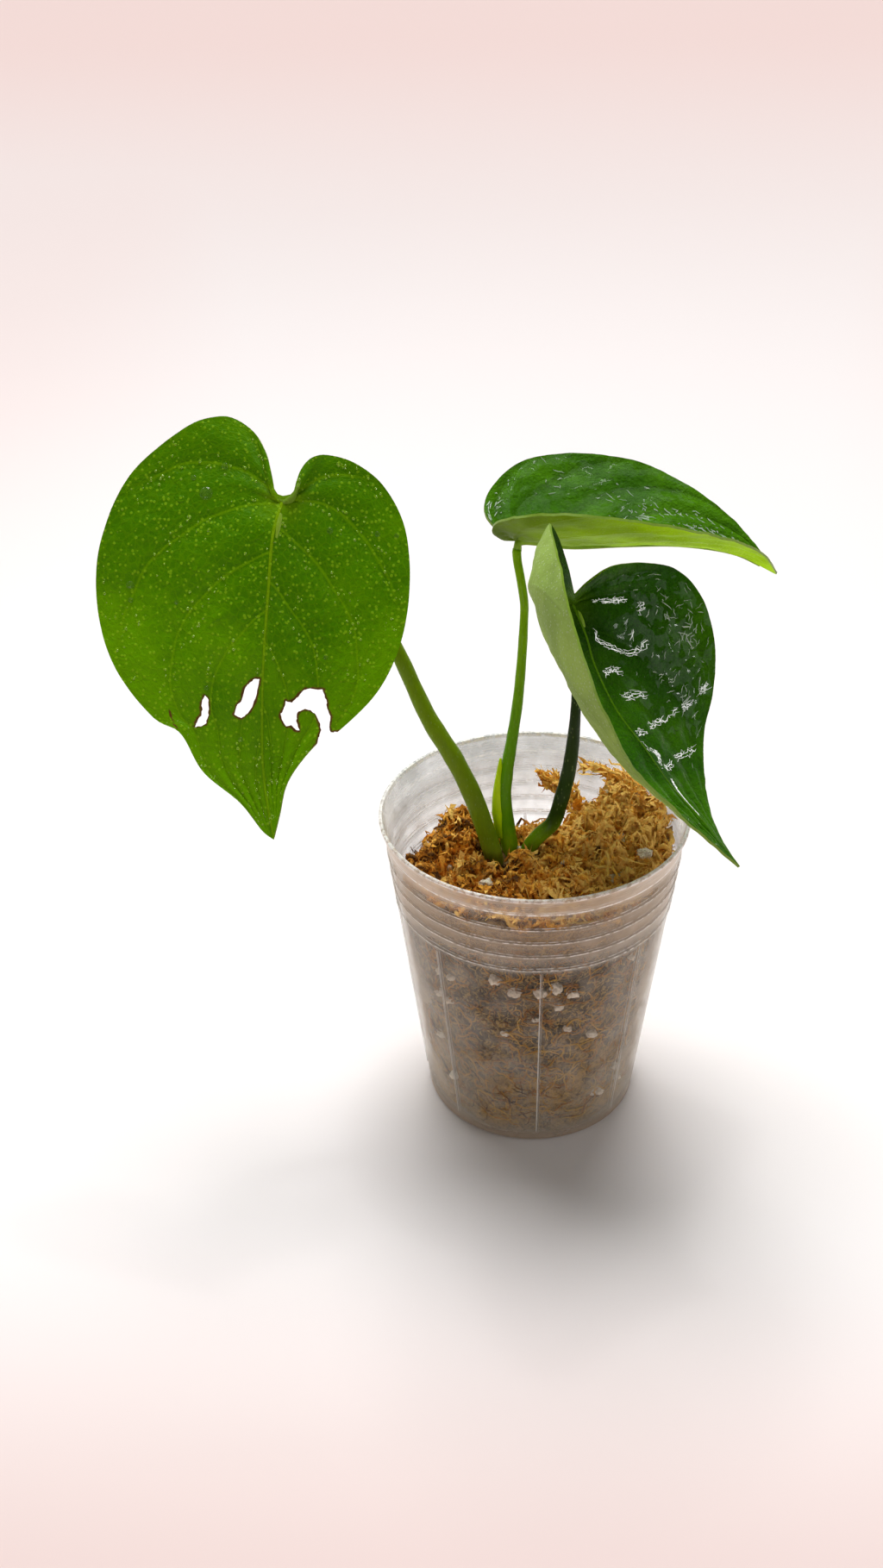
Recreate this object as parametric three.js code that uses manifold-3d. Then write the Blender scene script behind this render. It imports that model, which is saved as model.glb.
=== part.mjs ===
// Potted cupcake monstera: a young climbing aroid with three leaves in a clear nursery pot.
// Millimetres, +Z up, origin at the centre of the pot's base. The front faces -Y.
import * as THREE from 'three';
import { mergeVertices } from 'three/addons/utils/BufferGeometryUtils.js';
import Module from 'manifold-3d';

const wasm = await Module();
wasm.setup();

// Pot
const POT_HEIGHT = 100;
const RIM_RADIUS = 45;
const BASE_RADIUS = 32.4;
const LIP_BOTTOM = 93.6;
const LIP_CORNER_RADIUS = 43.2;
const WALL = 0.8;
const FLOOR = 1.4;
const RING_HEIGHTS = [73.1, 78.2, 83.3, 88.5];
const RING_DEPTH = 0.45;
const RIB_COUNT = 8;
const RIB_TURN = -86;
const RIB_WIDTH = 0.8;
const RIB_DEPTH = 0.5;
const RIB_BOTTOM = 4;
const RIB_TOP = 72;
const DRAIN_COUNT = 8;
const DRAIN_RADIUS = 3;
const DRAIN_CIRCLE = 20;
const ROUND_SIDES = 40;

// Growing mix
const MIX_GAP = 0.3;
const MIX_LEVEL = 88;
const HOLLOW_DEPTH = 20;
const LEFT_FALL = 13;
const HEAP_HEIGHT = 6;
const STRAND_COUNT = 28;
const PERLITE_COUNT = 12;
const STEM_GAP = 0.4;

// Plant
const BLADE = 0.8;
const JOINT_GAP = 0.35;
const BLADE_ROWS = 22;
const BLADE_COLUMNS = 4;
const CROWN_TOP = 82.6;

const rad = THREE.MathUtils.degToRad;
const vec = (p) => new THREE.Vector3(...p);
const smooth = (a, b, x) => {
  const t = THREE.MathUtils.clamp((x - a) / (b - a), 0, 1);
  return t * t * (3 - 2 * t);
};

// A small repeatable random sequence, so that strands and grains always fall alike.
function sequence(seed) {
  let state = seed;
  return () => {
    state = (Math.imul(state, 1664525) + 1013904223) >>> 0;
    return state / 4294967296;
  };
}

// Closed geometry to solid, and back.
function solid(geometry) {
  const bare = geometry.clone();
  bare.deleteAttribute('normal');
  bare.deleteAttribute('uv');
  const merged = mergeVertices(bare, 1e-4);
  return new wasm.Manifold(new wasm.Mesh({
    numProp: 3,
    vertProperties: new Float32Array(merged.attributes.position.array),
    triVerts: new Uint32Array(merged.index.array),
  }));
}

function geometryOf(body) {
  const mesh = body.getMesh();
  const geometry = new THREE.BufferGeometry();
  geometry.setAttribute('position', new THREE.BufferAttribute(new Float32Array(mesh.vertProperties), 3));
  geometry.setIndex(new THREE.BufferAttribute(new Uint32Array(mesh.triVerts), 1));
  geometry.computeVertexNormals();
  return geometry;
}

// The largest connected body of a cut solid; scraps are dropped.
function mainBody(body) {
  const pieces = body.decompose();
  return pieces.reduce((best, piece) => (piece.volume() > best.volume() ? piece : best));
}

function splineValue(values, t) {
  const x = THREE.MathUtils.clamp(t, 0, 1) * (values.length - 1);
  const i = Math.min(Math.floor(x), values.length - 2);
  return THREE.MathUtils.lerp(values[i], values[i + 1], x - i);
}

// A round rod along a curve from fraction t0 to t1 of its length, with its radius given along it.
function rod(points, radii, sides, steps, t0 = 0, t1 = 1) {
  const path = new THREE.CatmullRomCurve3(points.map(vec), false, 'catmullrom', 0.5);
  const stops = Array.from({ length: steps + 1 }, (_, i) => THREE.MathUtils.lerp(t0, t1, i / steps));
  const centres = stops.map((t) => path.getPointAt(t));
  const tangents = stops.map((t) => path.getTangentAt(t));
  const side = new THREE.Vector3(0, 1, 0).cross(tangents[0]);
  if (side.length() < 0.2) side.set(1, 0, 0).cross(tangents[0]);
  side.normalize();
  const frames = tangents.map((tangent, i) => {
    if (i > 0) {
      const turn = new THREE.Quaternion().setFromUnitVectors(tangents[i - 1], tangent);
      side.applyQuaternion(turn);
    }
    side.addScaledVector(tangent, -side.dot(tangent)).normalize();
    return [side.clone(), new THREE.Vector3().crossVectors(tangent, side)];
  });
  const geometry = new THREE.CylinderGeometry(1, 1, 1, sides, steps);
  const position = geometry.attributes.position;
  for (let k = 0; k < position.count; k += 1) {
    const i = Math.round((position.getY(k) + 0.5) * steps);
    const radius = splineValue(radii, stops[i]);
    const point = centres[i].clone();
    point.addScaledVector(frames[i][0], position.getX(k) * radius);
    point.addScaledVector(frames[i][1], -position.getZ(k) * radius);
    position.setXYZ(k, point.x, point.y, point.z);
  }
  return solid(geometry);
}

// Pot: a thin tapered shell with a flared lip, four pressed rings, ribs and drain holes.
const wallRadius = (z) => BASE_RADIUS + (z - 1.2) * (LIP_CORNER_RADIUS - BASE_RADIUS) / (LIP_BOTTOM - 1.2);
const innerRadius = (z) => wallRadius(z) - WALL;

function buildPot() {
  const profile = [[0, 0], [BASE_RADIUS - 1.2, 0], [BASE_RADIUS, 1.2]];
  for (const z of RING_HEIGHTS) {
    profile.push([wallRadius(z - 0.8), z - 0.8]);
    profile.push([wallRadius(z) + RING_DEPTH, z]);
    profile.push([wallRadius(z + 0.6), z + 0.6]);
  }
  profile.push([LIP_CORNER_RADIUS - 0.1, LIP_BOTTOM], [LIP_CORNER_RADIUS + 0.3, LIP_BOTTOM + 1]);
  profile.push([RIM_RADIUS - 0.3, POT_HEIGHT - 1.1], [RIM_RADIUS, POT_HEIGHT - 0.9]);
  profile.push([RIM_RADIUS, POT_HEIGHT - 0.3], [RIM_RADIUS - 0.3, POT_HEIGHT]);
  profile.push([RIM_RADIUS - 0.9, POT_HEIGHT], [RIM_RADIUS - 1.2, POT_HEIGHT - 0.6]);
  profile.push([innerRadius(LIP_BOTTOM), LIP_BOTTOM], [innerRadius(FLOOR + 0.6), FLOOR + 0.6]);
  profile.push([innerRadius(FLOOR) - 0.6, FLOOR], [0, FLOOR]);
  const shell = new THREE.LatheGeometry(profile.map(([r, z]) => new THREE.Vector2(r, z)), ROUND_SIDES);
  shell.rotateX(Math.PI / 2);
  let pot = solid(shell);
  if (pot.volume() < 0) {
    const index = shell.index.array;
    for (let k = 0; k < index.length; k += 3) [index[k], index[k + 1]] = [index[k + 1], index[k]];
    pot = solid(shell);
  }
  const lean = Math.atan2(wallRadius(RIB_TOP) - wallRadius(RIB_BOTTOM), RIB_TOP - RIB_BOTTOM);
  const middle = (RIB_TOP + RIB_BOTTOM) / 2;
  for (let k = 0; k < RIB_COUNT; k += 1) {
    const rib = new THREE.BoxGeometry(1.2, RIB_WIDTH, RIB_TOP - RIB_BOTTOM);
    rib.rotateY(lean);
    rib.translate(wallRadius(middle) + RIB_DEPTH - 0.6, 0, middle);
    rib.rotateZ(rad(RIB_TURN + k * 360 / RIB_COUNT));
    pot = pot.add(solid(rib));
  }
  for (let k = 0; k < DRAIN_COUNT; k += 1) {
    const hole = new THREE.CylinderGeometry(DRAIN_RADIUS, DRAIN_RADIUS, 4, 14);
    hole.rotateX(Math.PI / 2);
    const turn = rad(22.5 + k * 360 / DRAIN_COUNT);
    hole.translate(DRAIN_CIRCLE * Math.cos(turn), DRAIN_CIRCLE * Math.sin(turn), 0);
    pot = pot.subtract(solid(hole));
  }
  return pot;
}

// Petioles, from the crown up to the knee under each blade.
const petioleLeft = {
  points: [[-11, -6.2, 83], [-12.2, -6.5, 90.5], [-17, -5, 106], [-22.5, -3, 118], [-30, -1, 131],
    [-38, 2, 149.5], [-46, 4, 166], [-54.5, 3, 181], [-61, -0.5, 190.5], [-64, -4, 194.2]],
  radii: [2.7, 2.75, 2.75, 2.6, 2.3, 2.05, 1.9, 1.8, 1.7, 1.7],
};
const petioleMiddle = {
  points: [[-6.3, -2, 83], [-7, -2, 88.5], [-8.5, -1, 102.5], [-8, 0.5, 111.5], [-6.5, 3, 121.5],
    [-5, 5, 132.5], [-4, 8, 144.5], [-3.5, 11, 155], [-3.5, 12, 160], [-4.5, 14, 166], [-5.5, 15.5, 171]],
  radii: [2.5, 2.45, 2.1, 1.9, 1.65, 1.5, 1.4, 1.3, 1.2, 1.2, 1.25],
  sheath: [[-9.6, 0.5, 117.5], [-10, 0, 112], [-10.3, -1.5, 103], [-9, -2.3, 91]],
  sheathRadii: [0.5, 1.3, 2, 1.7],
};
const petioleRight = {
  points: [[-2.6, -6.2, 83], [-1.5, -5.5, 89.5], [1.5, -5, 94], [5.5, -4, 98], [7.5, -4, 105],
    [9.5, -3, 114], [10.5, -3, 123], [11, -4, 133], [11, -5, 141.5], [10.5, -6.5, 151],
    [10, -8, 161], [9.2, -9.4, 167]],
  radii: [2.2, 2.2, 2.2, 2.2, 2.05, 1.9, 1.6, 1.35, 1.25, 1.2, 1.2, 1.25],
};

// Leaves. Each has a rib from its base to its tip and two margins from the notch to the tip,
// named as seen from base to tip with the glossy face up. Sag is how far each half hangs below
// a straight line from rib to margin, at even steps along the margin.
const leafLeft = {
  petiole: petioleLeft,
  rib: [[-65, -8, 197], [-67, -14, 190.5], [-68, -22, 178], [-69, -31, 163], [-69.5, -38.5, 147],
    [-69, -44, 135], [-66.5, -51, 122.5]],
  right: [[-65, -6.5, 198], [-66.8, -6.8, 199.1], [-67.4, -5, 201], [-68.3, -2.6, 204], [-70, 1, 207.6],
    [-74, 5.5, 211.5], [-81.5, 8, 214], [-92, 6.5, 211], [-106, 0, 200.5], [-113, -10, 186],
    [-113.5, -18.5, 172], [-108.5, -27.5, 159.5],
    [-98.5, -34.5, 149], [-91, -37, 145.5], [-85, -42, 137], [-75.5, -46, 130.5], [-69.5, -50, 124.5],
    [-66.5, -51, 122.5]],
  left: [[-65, -6.5, 198], [-62.2, -6.5, 198.8], [-61.4, -4.9, 201.2], [-60.2, -2.4, 204],
    [-58, 0.2, 205.8], [-54.5, 3, 205.5], [-47.5, 4, 203],
    [-40, 2.5, 197.2], [-34.5, -2, 187.5], [-33, -10, 175], [-35, -18.5, 163], [-40.5, -26.5, 153],
    [-50, -33, 145], [-56.5, -36.5, 142], [-63, -42.5, 135], [-65, -47.5, 128], [-66.5, -51, 122.5]],
  rightSag: [0, 0.5, 1.5, 1.5, 1, 0],
  leftSag: [0, 0.5, 1.5, 1.5, 1, 0],
  knee: [[-65.2, -7, 195.6], [-66, -11.5, 192.2]],
};
const leafTop = {
  petiole: petioleMiddle,
  rib: [[-5.5, 17, 176.5], [7, 17, 175], [19, 17.5, 175], [31, 18, 175], [44, 19, 174], [55, 20, 171],
    [66, 21, 165]],
  left: [[-6.5, 17, 177], [-9, 19.5, 177], [-12.5, 22, 178.5], [-15, 28, 181], [-13, 35, 184.5],
    [-6, 44, 188], [3, 48, 189], [14, 49, 189], [29, 46, 187.5], [42, 40, 183], [53, 33, 177],
    [60, 27, 171], [66, 21, 165]],
  right: [[-6.5, 17, 177], [-9, 14.5, 177.5], [-11.5, 11, 180.5], [-12, 6, 184.3], [-10, 1, 188.3],
    [-4, -6, 192.5], [5, -10.5, 195], [16, -11, 194.5], [32, -8, 191], [45, -2, 186], [56, 7, 179],
    [62, 14, 172.5], [66, 21, 165]],
  leftSag: [0, 1, 1.5, 1.5, 1, 0],
  rightSag: [0, 1, 1.5, 1, 0.5, 0],
  knee: [[-5.4, 16.4, 174.2], [-2.5, 17, 175.3]],
};
const leafRight = {
  petiole: petioleRight,
  rib: [[9, -12, 171], [12.5, -17, 164.5], [15, -22, 158], [20.5, -29.5, 149.5], [27.5, -35, 142],
    [35, -40, 133], [43.5, -44.5, 125], [52.5, -49, 115]],
  right: [[9.5, -11, 173], [7.5, -15, 183.5], [5, -16, 191.5], [3, -16.5, 195], [3.5, -22.5, 194.5],
    [5.5, -34, 191], [7.5, -43.5, 185], [11, -51, 176.5], [14.5, -55, 167.5], [19, -56, 158],
    [24.5, -54.5, 146.5], [32.5, -51.5, 136], [42, -49, 125], [52.5, -49, 115]],
  left: [[9.5, -11, 173], [13.5, -7.5, 175.5], [20, -1.5, 177], [29, 4, 175.5], [37.5, 7, 172],
    [44.5, 6, 164], [48, 0.5, 152.5], [47.5, -6.5, 142], [45, -14.5, 134.5], [44.5, -24, 129],
    [45.5, -36, 123.5], [49, -44.5, 118.5], [52.5, -49, 115]],
  rightSag: [0, 6, 9, 8.5, 6.5, 4.5, 2, 0.5, 0],
  leftSag: [0, 1, 2, 2, 1, 0],
  knee: [[9.4, -11.2, 169.4], [11.4, -14.2, 166.6]],
};

// Where a vein from the rib meets the margin: the first part of the margin is served by veins
// that fan out of the leaf's base, the rest by veins spaced along the rib.
const FAN = 0.3;
const VEIN_SPACING = 1.15;
const RIB_RADII = [1.25, 1, 0.8, 0.65, 0.5, 0.4];

function bladeSurface(leaf) {
  const curve = (points) => new THREE.CatmullRomCurve3(points.map(vec), false, 'catmullrom', 0.5);
  const rib = curve(leaf.rib);
  const sides = [
    { margin: curve(leaf.left), sag: leaf.leftSag, sign: 1 },
    { margin: curve(leaf.right), sag: leaf.rightSag, sign: -1 },
  ];
  return (s, r) => {
    const { margin, sag, sign } = sides[r < 0 ? 0 : 1];
    const across = Math.abs(r);
    const g = THREE.MathUtils.clamp((s - FAN) / (1 - FAN), 0, 1) ** VEIN_SPACING;
    const foot = rib.getPointAt(g);
    const along = rib.getPointAt(Math.min(g + 0.02, 1)).sub(rib.getPointAt(Math.max(g - 0.02, 0)));
    const reach = margin.getPointAt(s).sub(foot);
    const normal = new THREE.Vector3().crossVectors(reach, along).normalize();
    const depth = splineValue(sag, s) * 4 * across * (1 - across);
    return foot.addScaledVector(reach, across).addScaledVector(normal, sign * depth);
  };
}

function buildBlade(leaf) {
  const surface = bladeSurface(leaf);
  const points = [];
  const seen = new Map();
  const ids = [];
  const width = 2 * BLADE_COLUMNS + 1;
  for (let i = 0; i <= BLADE_ROWS; i += 1) {
    for (let j = -BLADE_COLUMNS; j <= BLADE_COLUMNS; j += 1) {
      const point = surface(i / BLADE_ROWS, j / BLADE_COLUMNS);
      const key = point.toArray().map((c) => Math.round(c * 500)).join();
      if (!seen.has(key)) {
        seen.set(key, points.length);
        points.push(point);
      }
      ids.push(seen.get(key));
    }
  }
  const faces = [];
  const face = (a, b, c) => {
    if (a !== b && b !== c && c !== a) faces.push([a, b, c]);
  };
  for (let i = 0; i < BLADE_ROWS; i += 1) {
    for (let j = 0; j < width - 1; j += 1) {
      const a = ids[i * width + j];
      const b = ids[i * width + j + 1];
      const c = ids[(i + 1) * width + j];
      const d = ids[(i + 1) * width + j + 1];
      if (j >= BLADE_COLUMNS) {
        face(a, b, d);
        face(a, d, c);
      } else {
        face(a, b, c);
        face(b, d, c);
      }
    }
  }
  const normals = points.map(() => new THREE.Vector3());
  for (const [a, b, c] of faces) {
    const u = points[b].clone().sub(points[a]);
    const n = u.cross(points[c].clone().sub(points[a]));
    for (const k of [a, b, c]) normals[k].add(n);
  }
  normals.forEach((n) => n.normalize());
  const count = points.length;
  const positions = [];
  for (const lift of [BLADE / 2, -BLADE / 2]) {
    points.forEach((p, k) => positions.push(...p.clone().addScaledVector(normals[k], lift).toArray()));
  }
  const index = [];
  const edges = new Set(faces.flatMap(([a, b, c]) => [`${a},${b}`, `${b},${c}`, `${c},${a}`]));
  for (const [a, b, c] of faces) {
    index.push(a, b, c, a + count, c + count, b + count);
    for (const [p, q] of [[a, b], [b, c], [c, a]]) {
      if (!edges.has(`${q},${p}`)) index.push(q, p, p + count, q, p + count, q + count);
    }
  }
  const geometry = new THREE.BufferGeometry();
  geometry.setAttribute('position', new THREE.Float32BufferAttribute(positions, 3));
  geometry.setIndex(index);
  const ribLine = [];
  for (const step of [0.2, 0.4, 0.6, 0.8, 0.94]) {
    const s = FAN + (1 - FAN) * step ** (1 / VEIN_SPACING);
    const here = surface(s, 0);
    const left = surface(s, -0.1).sub(here);
    const right = surface(s, 0.1).sub(here);
    const along = surface(Math.min(s + 0.01, 1), 0).sub(here);
    const up = new THREE.Vector3().crossVectors(right, along).normalize();
    up.add(new THREE.Vector3().crossVectors(along, left).normalize()).normalize();
    ribLine.push(here.addScaledVector(up, -splineValue(RIB_RADII, step)).toArray());
  }
  return { blade: solid(geometry), ribLine };
}

// The petiole, the knee and the rib are one rod, parted under the blade: the lower length is
// the petiole and the upper one is fused under the blade.
function buildLeafAndPetiole(leaf) {
  const { blade, ribLine } = buildBlade(leaf);
  const points = [...leaf.petiole.points, ...leaf.knee, ...ribLine];
  const path = new THREE.CatmullRomCurve3(points.map(vec), false, 'catmullrom', 0.5);
  const whole = path.getLength();
  const lower = new THREE.CatmullRomCurve3(points.slice(0, leaf.petiole.points.length + 1).map(vec),
    false, 'catmullrom', 0.5);
  const share = (lower.getLength() - 1.6) / whole;
  const radii = [];
  for (let k = 0; k <= 40; k += 1) {
    const t = k / 40;
    radii.push(t < share
      ? splineValue(leaf.petiole.radii, t / share)
      : splineValue(RIB_RADII, (t - share) / (1 - share)));
  }
  let petiole = rod(points, radii, 8, 24, 0, share - JOINT_GAP / whole);
  if (leaf.petiole.sheath) {
    petiole = petiole.add(rod(leaf.petiole.sheath, leaf.petiole.sheathRadii, 8, 8));
  }
  const rib = rod(points, radii, 6, 18, share, 1);
  return { leaf: blade.add(rib), petiole };
}

// Feeding damage in the left blade: two slits and a torn bay, cut square through the blade.
// Outlines in millimetres across and up from the blade's base, in the plane of the blade.
const DAMAGE = [
  [[-21.3, -48.4], [-20.4, -49.5], [-20.5, -52.8], [-21.3, -55.8], [-23, -56.4], [-24.5, -56.4],
    [-23.7, -55.3], [-22.5, -53.5], [-22.1, -50.2]],
  [[-8.4, -44.7], [-6.8, -44.7], [-7.4, -47.6], [-8.2, -50.5], [-10.1, -53.4], [-11.9, -54.5],
    [-13.8, -53.7], [-12.9, -51.2], [-11.5, -49.7], [-10.7, -46.8], [-9.5, -45.7]],
  [[4.8, -47.3], [8.8, -47.6], [9.7, -50.2], [10.1, -53.2], [10.6, -55], [10.2, -57.4], [11.1, -58.3],
    [14.5, -61], [9, -65.5], [7.1, -61.2], [8, -58.3], [7.9, -56.1], [6.8, -53.8], [5.5, -52.8],
    [4.3, -52.5], [2.8, -53], [2.2, -54.1], [2.1, -55.5], [2.7, -58.2], [1.6, -57.7], [0.5, -56.6],
    [-0.6, -56.7], [-1.5, -55.5], [-1.9, -53.6], [-0.9, -52.2], [-0.5, -50.4], [1.1, -50.9],
    [2.5, -49.3], [4, -47.9]],
];
const BLADE_TILT = 58;
const BLADE_TURN = 4;

function cutDamage(blade) {
  let cut = blade;
  for (const outline of DAMAGE) {
    const shape = new THREE.Shape(outline.map(([x, y]) => new THREE.Vector2(x, y)));
    const prism = new THREE.ExtrudeGeometry(shape, { depth: 24, bevelEnabled: false, steps: 1 });
    prism.translate(0, 0, -12);
    prism.rotateX(rad(BLADE_TILT));
    prism.rotateZ(rad(BLADE_TURN));
    prism.translate(...leafLeft.rib[0]);
    cut = cut.subtract(solid(prism));
  }
  return mainBody(cut);
}

// Crown: the short stem that the petioles rise from, with its feeding roots.
const CROWN = [[-6.5, -4.5, CROWN_TOP], [-6.5, -4.5, 76], [-6.2, -4, 68], [-5.5, -3, 60]];
const CROWN_RADII = [8.4, 8.6, 7, 3.2];
const ROOTS = [
  [[-8, -5, 72], [-17, -10, 62], [-21, -14, 40], [-19, -17, 18]],
  [[-4, -6, 70], [4, -14, 58], [10, -19, 38], [9, -16, 16]],
  [[-4, -2, 70], [6, 6, 60], [16, 10, 44], [19, 12, 24]],
  [[-8, -1, 70], [-16, 8, 56], [-20, 14, 40], [-16, 16, 20]],
  [[-6, -4, 64], [-4, -2, 48], [1, 1, 30], [-2, 3, 10]],
];

function buildCrown(extra = 0) {
  const top = CROWN.map(([x, y, z], k) => [x, y, k === 0 ? z + extra : z]);
  let crown = rod(top, CROWN_RADII.map((r) => r + extra), 12, 5);
  for (const root of ROOTS) {
    crown = crown.add(rod(root, [1.5 + extra, 1.2 + extra, 1 + extra, 0.7 + extra], 6, 7));
  }
  return crown;
}

// Growing mix: moss and grit, level by the stems, heaped at the right, hollow behind them, and
// fallen away from the wall at the left.
function mixHeight(x, y) {
  const start = 3 + 9 * smooth(8, 18, -x) + 8 * smooth(6, 16, x) + 40 * smooth(18, 30, x);
  const hollow = HOLLOW_DEPTH * smooth(start, start + 16, y);
  const leftFall = LEFT_FALL * smooth(-3, 6, -x - (30 - 0.25 * y)) * smooth(-36, -22, y);
  const heap = HEAP_HEIGHT * Math.exp(-(((x - 26) / 13) ** 2 + ((y - 14) / 12) ** 2) / 2);
  const lumps = 0.9 * Math.sin(0.31 * x + 1.1) * Math.sin(0.37 * y - 0.4) + 0.5 * Math.sin(0.7 * x - 0.5 * y);
  return MIX_LEVEL - Math.max(hollow, leftFall) + heap + lumps;
}

// Tufts of moss that stand up from the heap and arch over the hollow.
const TUFTS = [
  {
    points: [[33, 12, 90], [32, 20, 94.5], [26, 27, 96.5], [19, 30, 97.5], [15, 31, 97]],
    radii: [2.6, 2.8, 2.4, 1.8, 1],
  },
  { points: [[15, 17, 86], [10, 24, 92], [4, 29, 95], [0, 32, 96]], radii: [1.3, 1.3, 1.1, 0.7] },
];

function petiolePath(petiole) {
  return new THREE.CatmullRomCurve3(petiole.points.map(vec), false, 'catmullrom', 0.5).getSpacedPoints(80);
}

function buildMix(crown) {
  const rings = [0, 0.25, 0.5, 0.7, 0.88, 1];
  const ball = new THREE.SphereGeometry(1, ROUND_SIDES, rings.length + 2);
  ball.rotateX(Math.PI / 2);
  const position = ball.attributes.position;
  const rows = rings.length + 2;
  for (let k = 0; k < position.count; k += 1) {
    const row = Math.floor(k / (ROUND_SIDES + 1));
    const turn = (k % (ROUND_SIDES + 1)) * 2 * Math.PI / ROUND_SIDES;
    const at = (radius, z) => position.setXYZ(k, -radius * Math.cos(turn), -radius * Math.sin(turn), z);
    if (row < rings.length) {
      let radius = rings[row] * (innerRadius(MIX_LEVEL) - MIX_GAP);
      let z = mixHeight(-radius * Math.cos(turn), -radius * Math.sin(turn));
      if (row === rings.length - 1) {
        radius = innerRadius(z) - MIX_GAP;
      } else {
        radius = Math.min(radius, innerRadius(z) - MIX_GAP - 1);
        z = mixHeight(-radius * Math.cos(turn), -radius * Math.sin(turn));
      }
      at(radius, z);
    } else if (row < rows) {
      const z = row === rings.length ? FLOOR + 1.4 : FLOOR + MIX_GAP;
      at(innerRadius(z) - MIX_GAP - (row === rows - 1 ? 1 : 0), z);
    } else {
      at(0, FLOOR + MIX_GAP);
    }
  }
  let mix = solid(ball);
  const random = sequence(20431);
  const stems = [petioleLeft, petioleMiddle, petioleRight].map(petiolePath);
  const clear = (points, reach) => points.every((p) => {
    const q = vec(p);
    return Math.hypot(p[0], p[1]) < innerRadius(Math.min(p[2], LIP_BOTTOM)) - reach
      && stems.every((stem) => stem.every((c) => c.distanceTo(q) > reach + 3.2));
  });
  for (let made = 0, tries = 0; made < STRAND_COUNT && tries < 2000; tries += 1) {
    const turn = random() * 2 * Math.PI;
    const out = 39 * Math.sqrt(random());
    let [x, y] = [out * Math.cos(turn), out * Math.sin(turn)];
    let heading = random() * 2 * Math.PI;
    const rise = 1.6 + 3.4 * random() ** 2;
    const step = 2.6 + 1.8 * random();
    const curl = (random() - 0.5) * 1.4;
    const points = [];
    for (let k = 0; k < 5; k += 1) {
      const arch = [-2.4, 0.4, 1, 0.6, -1.6][k];
      points.push([x, y, mixHeight(x, y) + (arch < 0 ? arch : arch * rise)]);
      heading += curl + (random() - 0.5) * 0.9;
      x += step * Math.cos(heading);
      y += step * Math.sin(heading);
    }
    if (!clear(points, 1.2)) continue;
    const size = 0.5 + 0.35 * random();
    mix = mix.add(rod(points, [size, size * 1.2, size, size * 0.8], 4, 5));
    made += 1;
  }
  for (let made = 0, tries = 0; made < PERLITE_COUNT && tries < 1000; tries += 1) {
    const size = 1.3 + 1.3 * random();
    const turn = random() * 2 * Math.PI;
    const out = 37 * Math.sqrt(random());
    const [x, y] = [out * Math.cos(turn), out * Math.sin(turn)];
    const point = [x, y, mixHeight(x, y) + 0.2 * size];
    if (!clear([point], size + 0.6)) continue;
    const grain = new THREE.IcosahedronGeometry(size, 0);
    grain.rotateX(6 * random());
    grain.rotateY(6 * random());
    grain.scale(1.15, 1, 0.85);
    grain.translate(...point);
    mix = mix.add(solid(grain));
    made += 1;
  }
  for (const { points, radii } of TUFTS) mix = mix.add(rod(points, radii, 7, 9));
  mix = mix.subtract(crown);
  for (const { points, radii, sheath, sheathRadii } of [petioleLeft, petioleMiddle, petioleRight]) {
    if (sheath) mix = mix.subtract(rod(sheath, sheathRadii.map((r) => r + STEM_GAP), 10, 8));
    const base = points.slice(0, 5);
    base[0] = [base[0][0], base[0][1], base[0][2] - 1.5];
    mix = mix.subtract(rod(base, radii.slice(0, 5).map((r) => r + STEM_GAP), 10, 12));
  }
  return mainBody(mix);
}

// Assembly
const plant = new THREE.Group();
const group = new THREE.Group();

function place(parent, name, body, color, roughness, opacity = 1) {
  const material = new THREE.MeshStandardMaterial({ color, roughness, metalness: 0 });
  if (opacity < 1) {
    material.transparent = true;
    material.opacity = opacity;
  }
  const mesh = new THREE.Mesh(geometryOf(body), material);
  mesh.name = name;
  parent.add(mesh);
}

const left = buildLeafAndPetiole(leafLeft);
const top = buildLeafAndPetiole(leafTop);
const right = buildLeafAndPetiole(leafRight);

place(group, 'pot', buildPot(), 0xc8c8c0, 0.35, 0.45);
place(group, 'growing_mix', buildMix(buildCrown(STEM_GAP)), 0x98652a, 0.95);
place(plant, 'stem_and_roots', buildCrown(), 0x6b5a2e, 0.8);
place(plant, 'petiole_left', left.petiole, 0x556800, 0.45);
place(plant, 'petiole_middle', top.petiole, 0x446300, 0.45);
place(plant, 'petiole_right', right.petiole, 0x1e2d0b, 0.45);
place(plant, 'leaf_left', cutDamage(left.leaf), 0x437002, 0.4);
place(plant, 'leaf_top', top.leaf, 0x2c5a10, 0.3);
place(plant, 'leaf_right', right.leaf, 0x1e4010, 0.25);
group.add(plant);

export default group;
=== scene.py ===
import bisect
import math
import random

import bmesh
import bpy
from bpy.props import FloatProperty, FloatVectorProperty, IntProperty, PointerProperty
from mathutils import Matrix, Vector, noise


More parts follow.
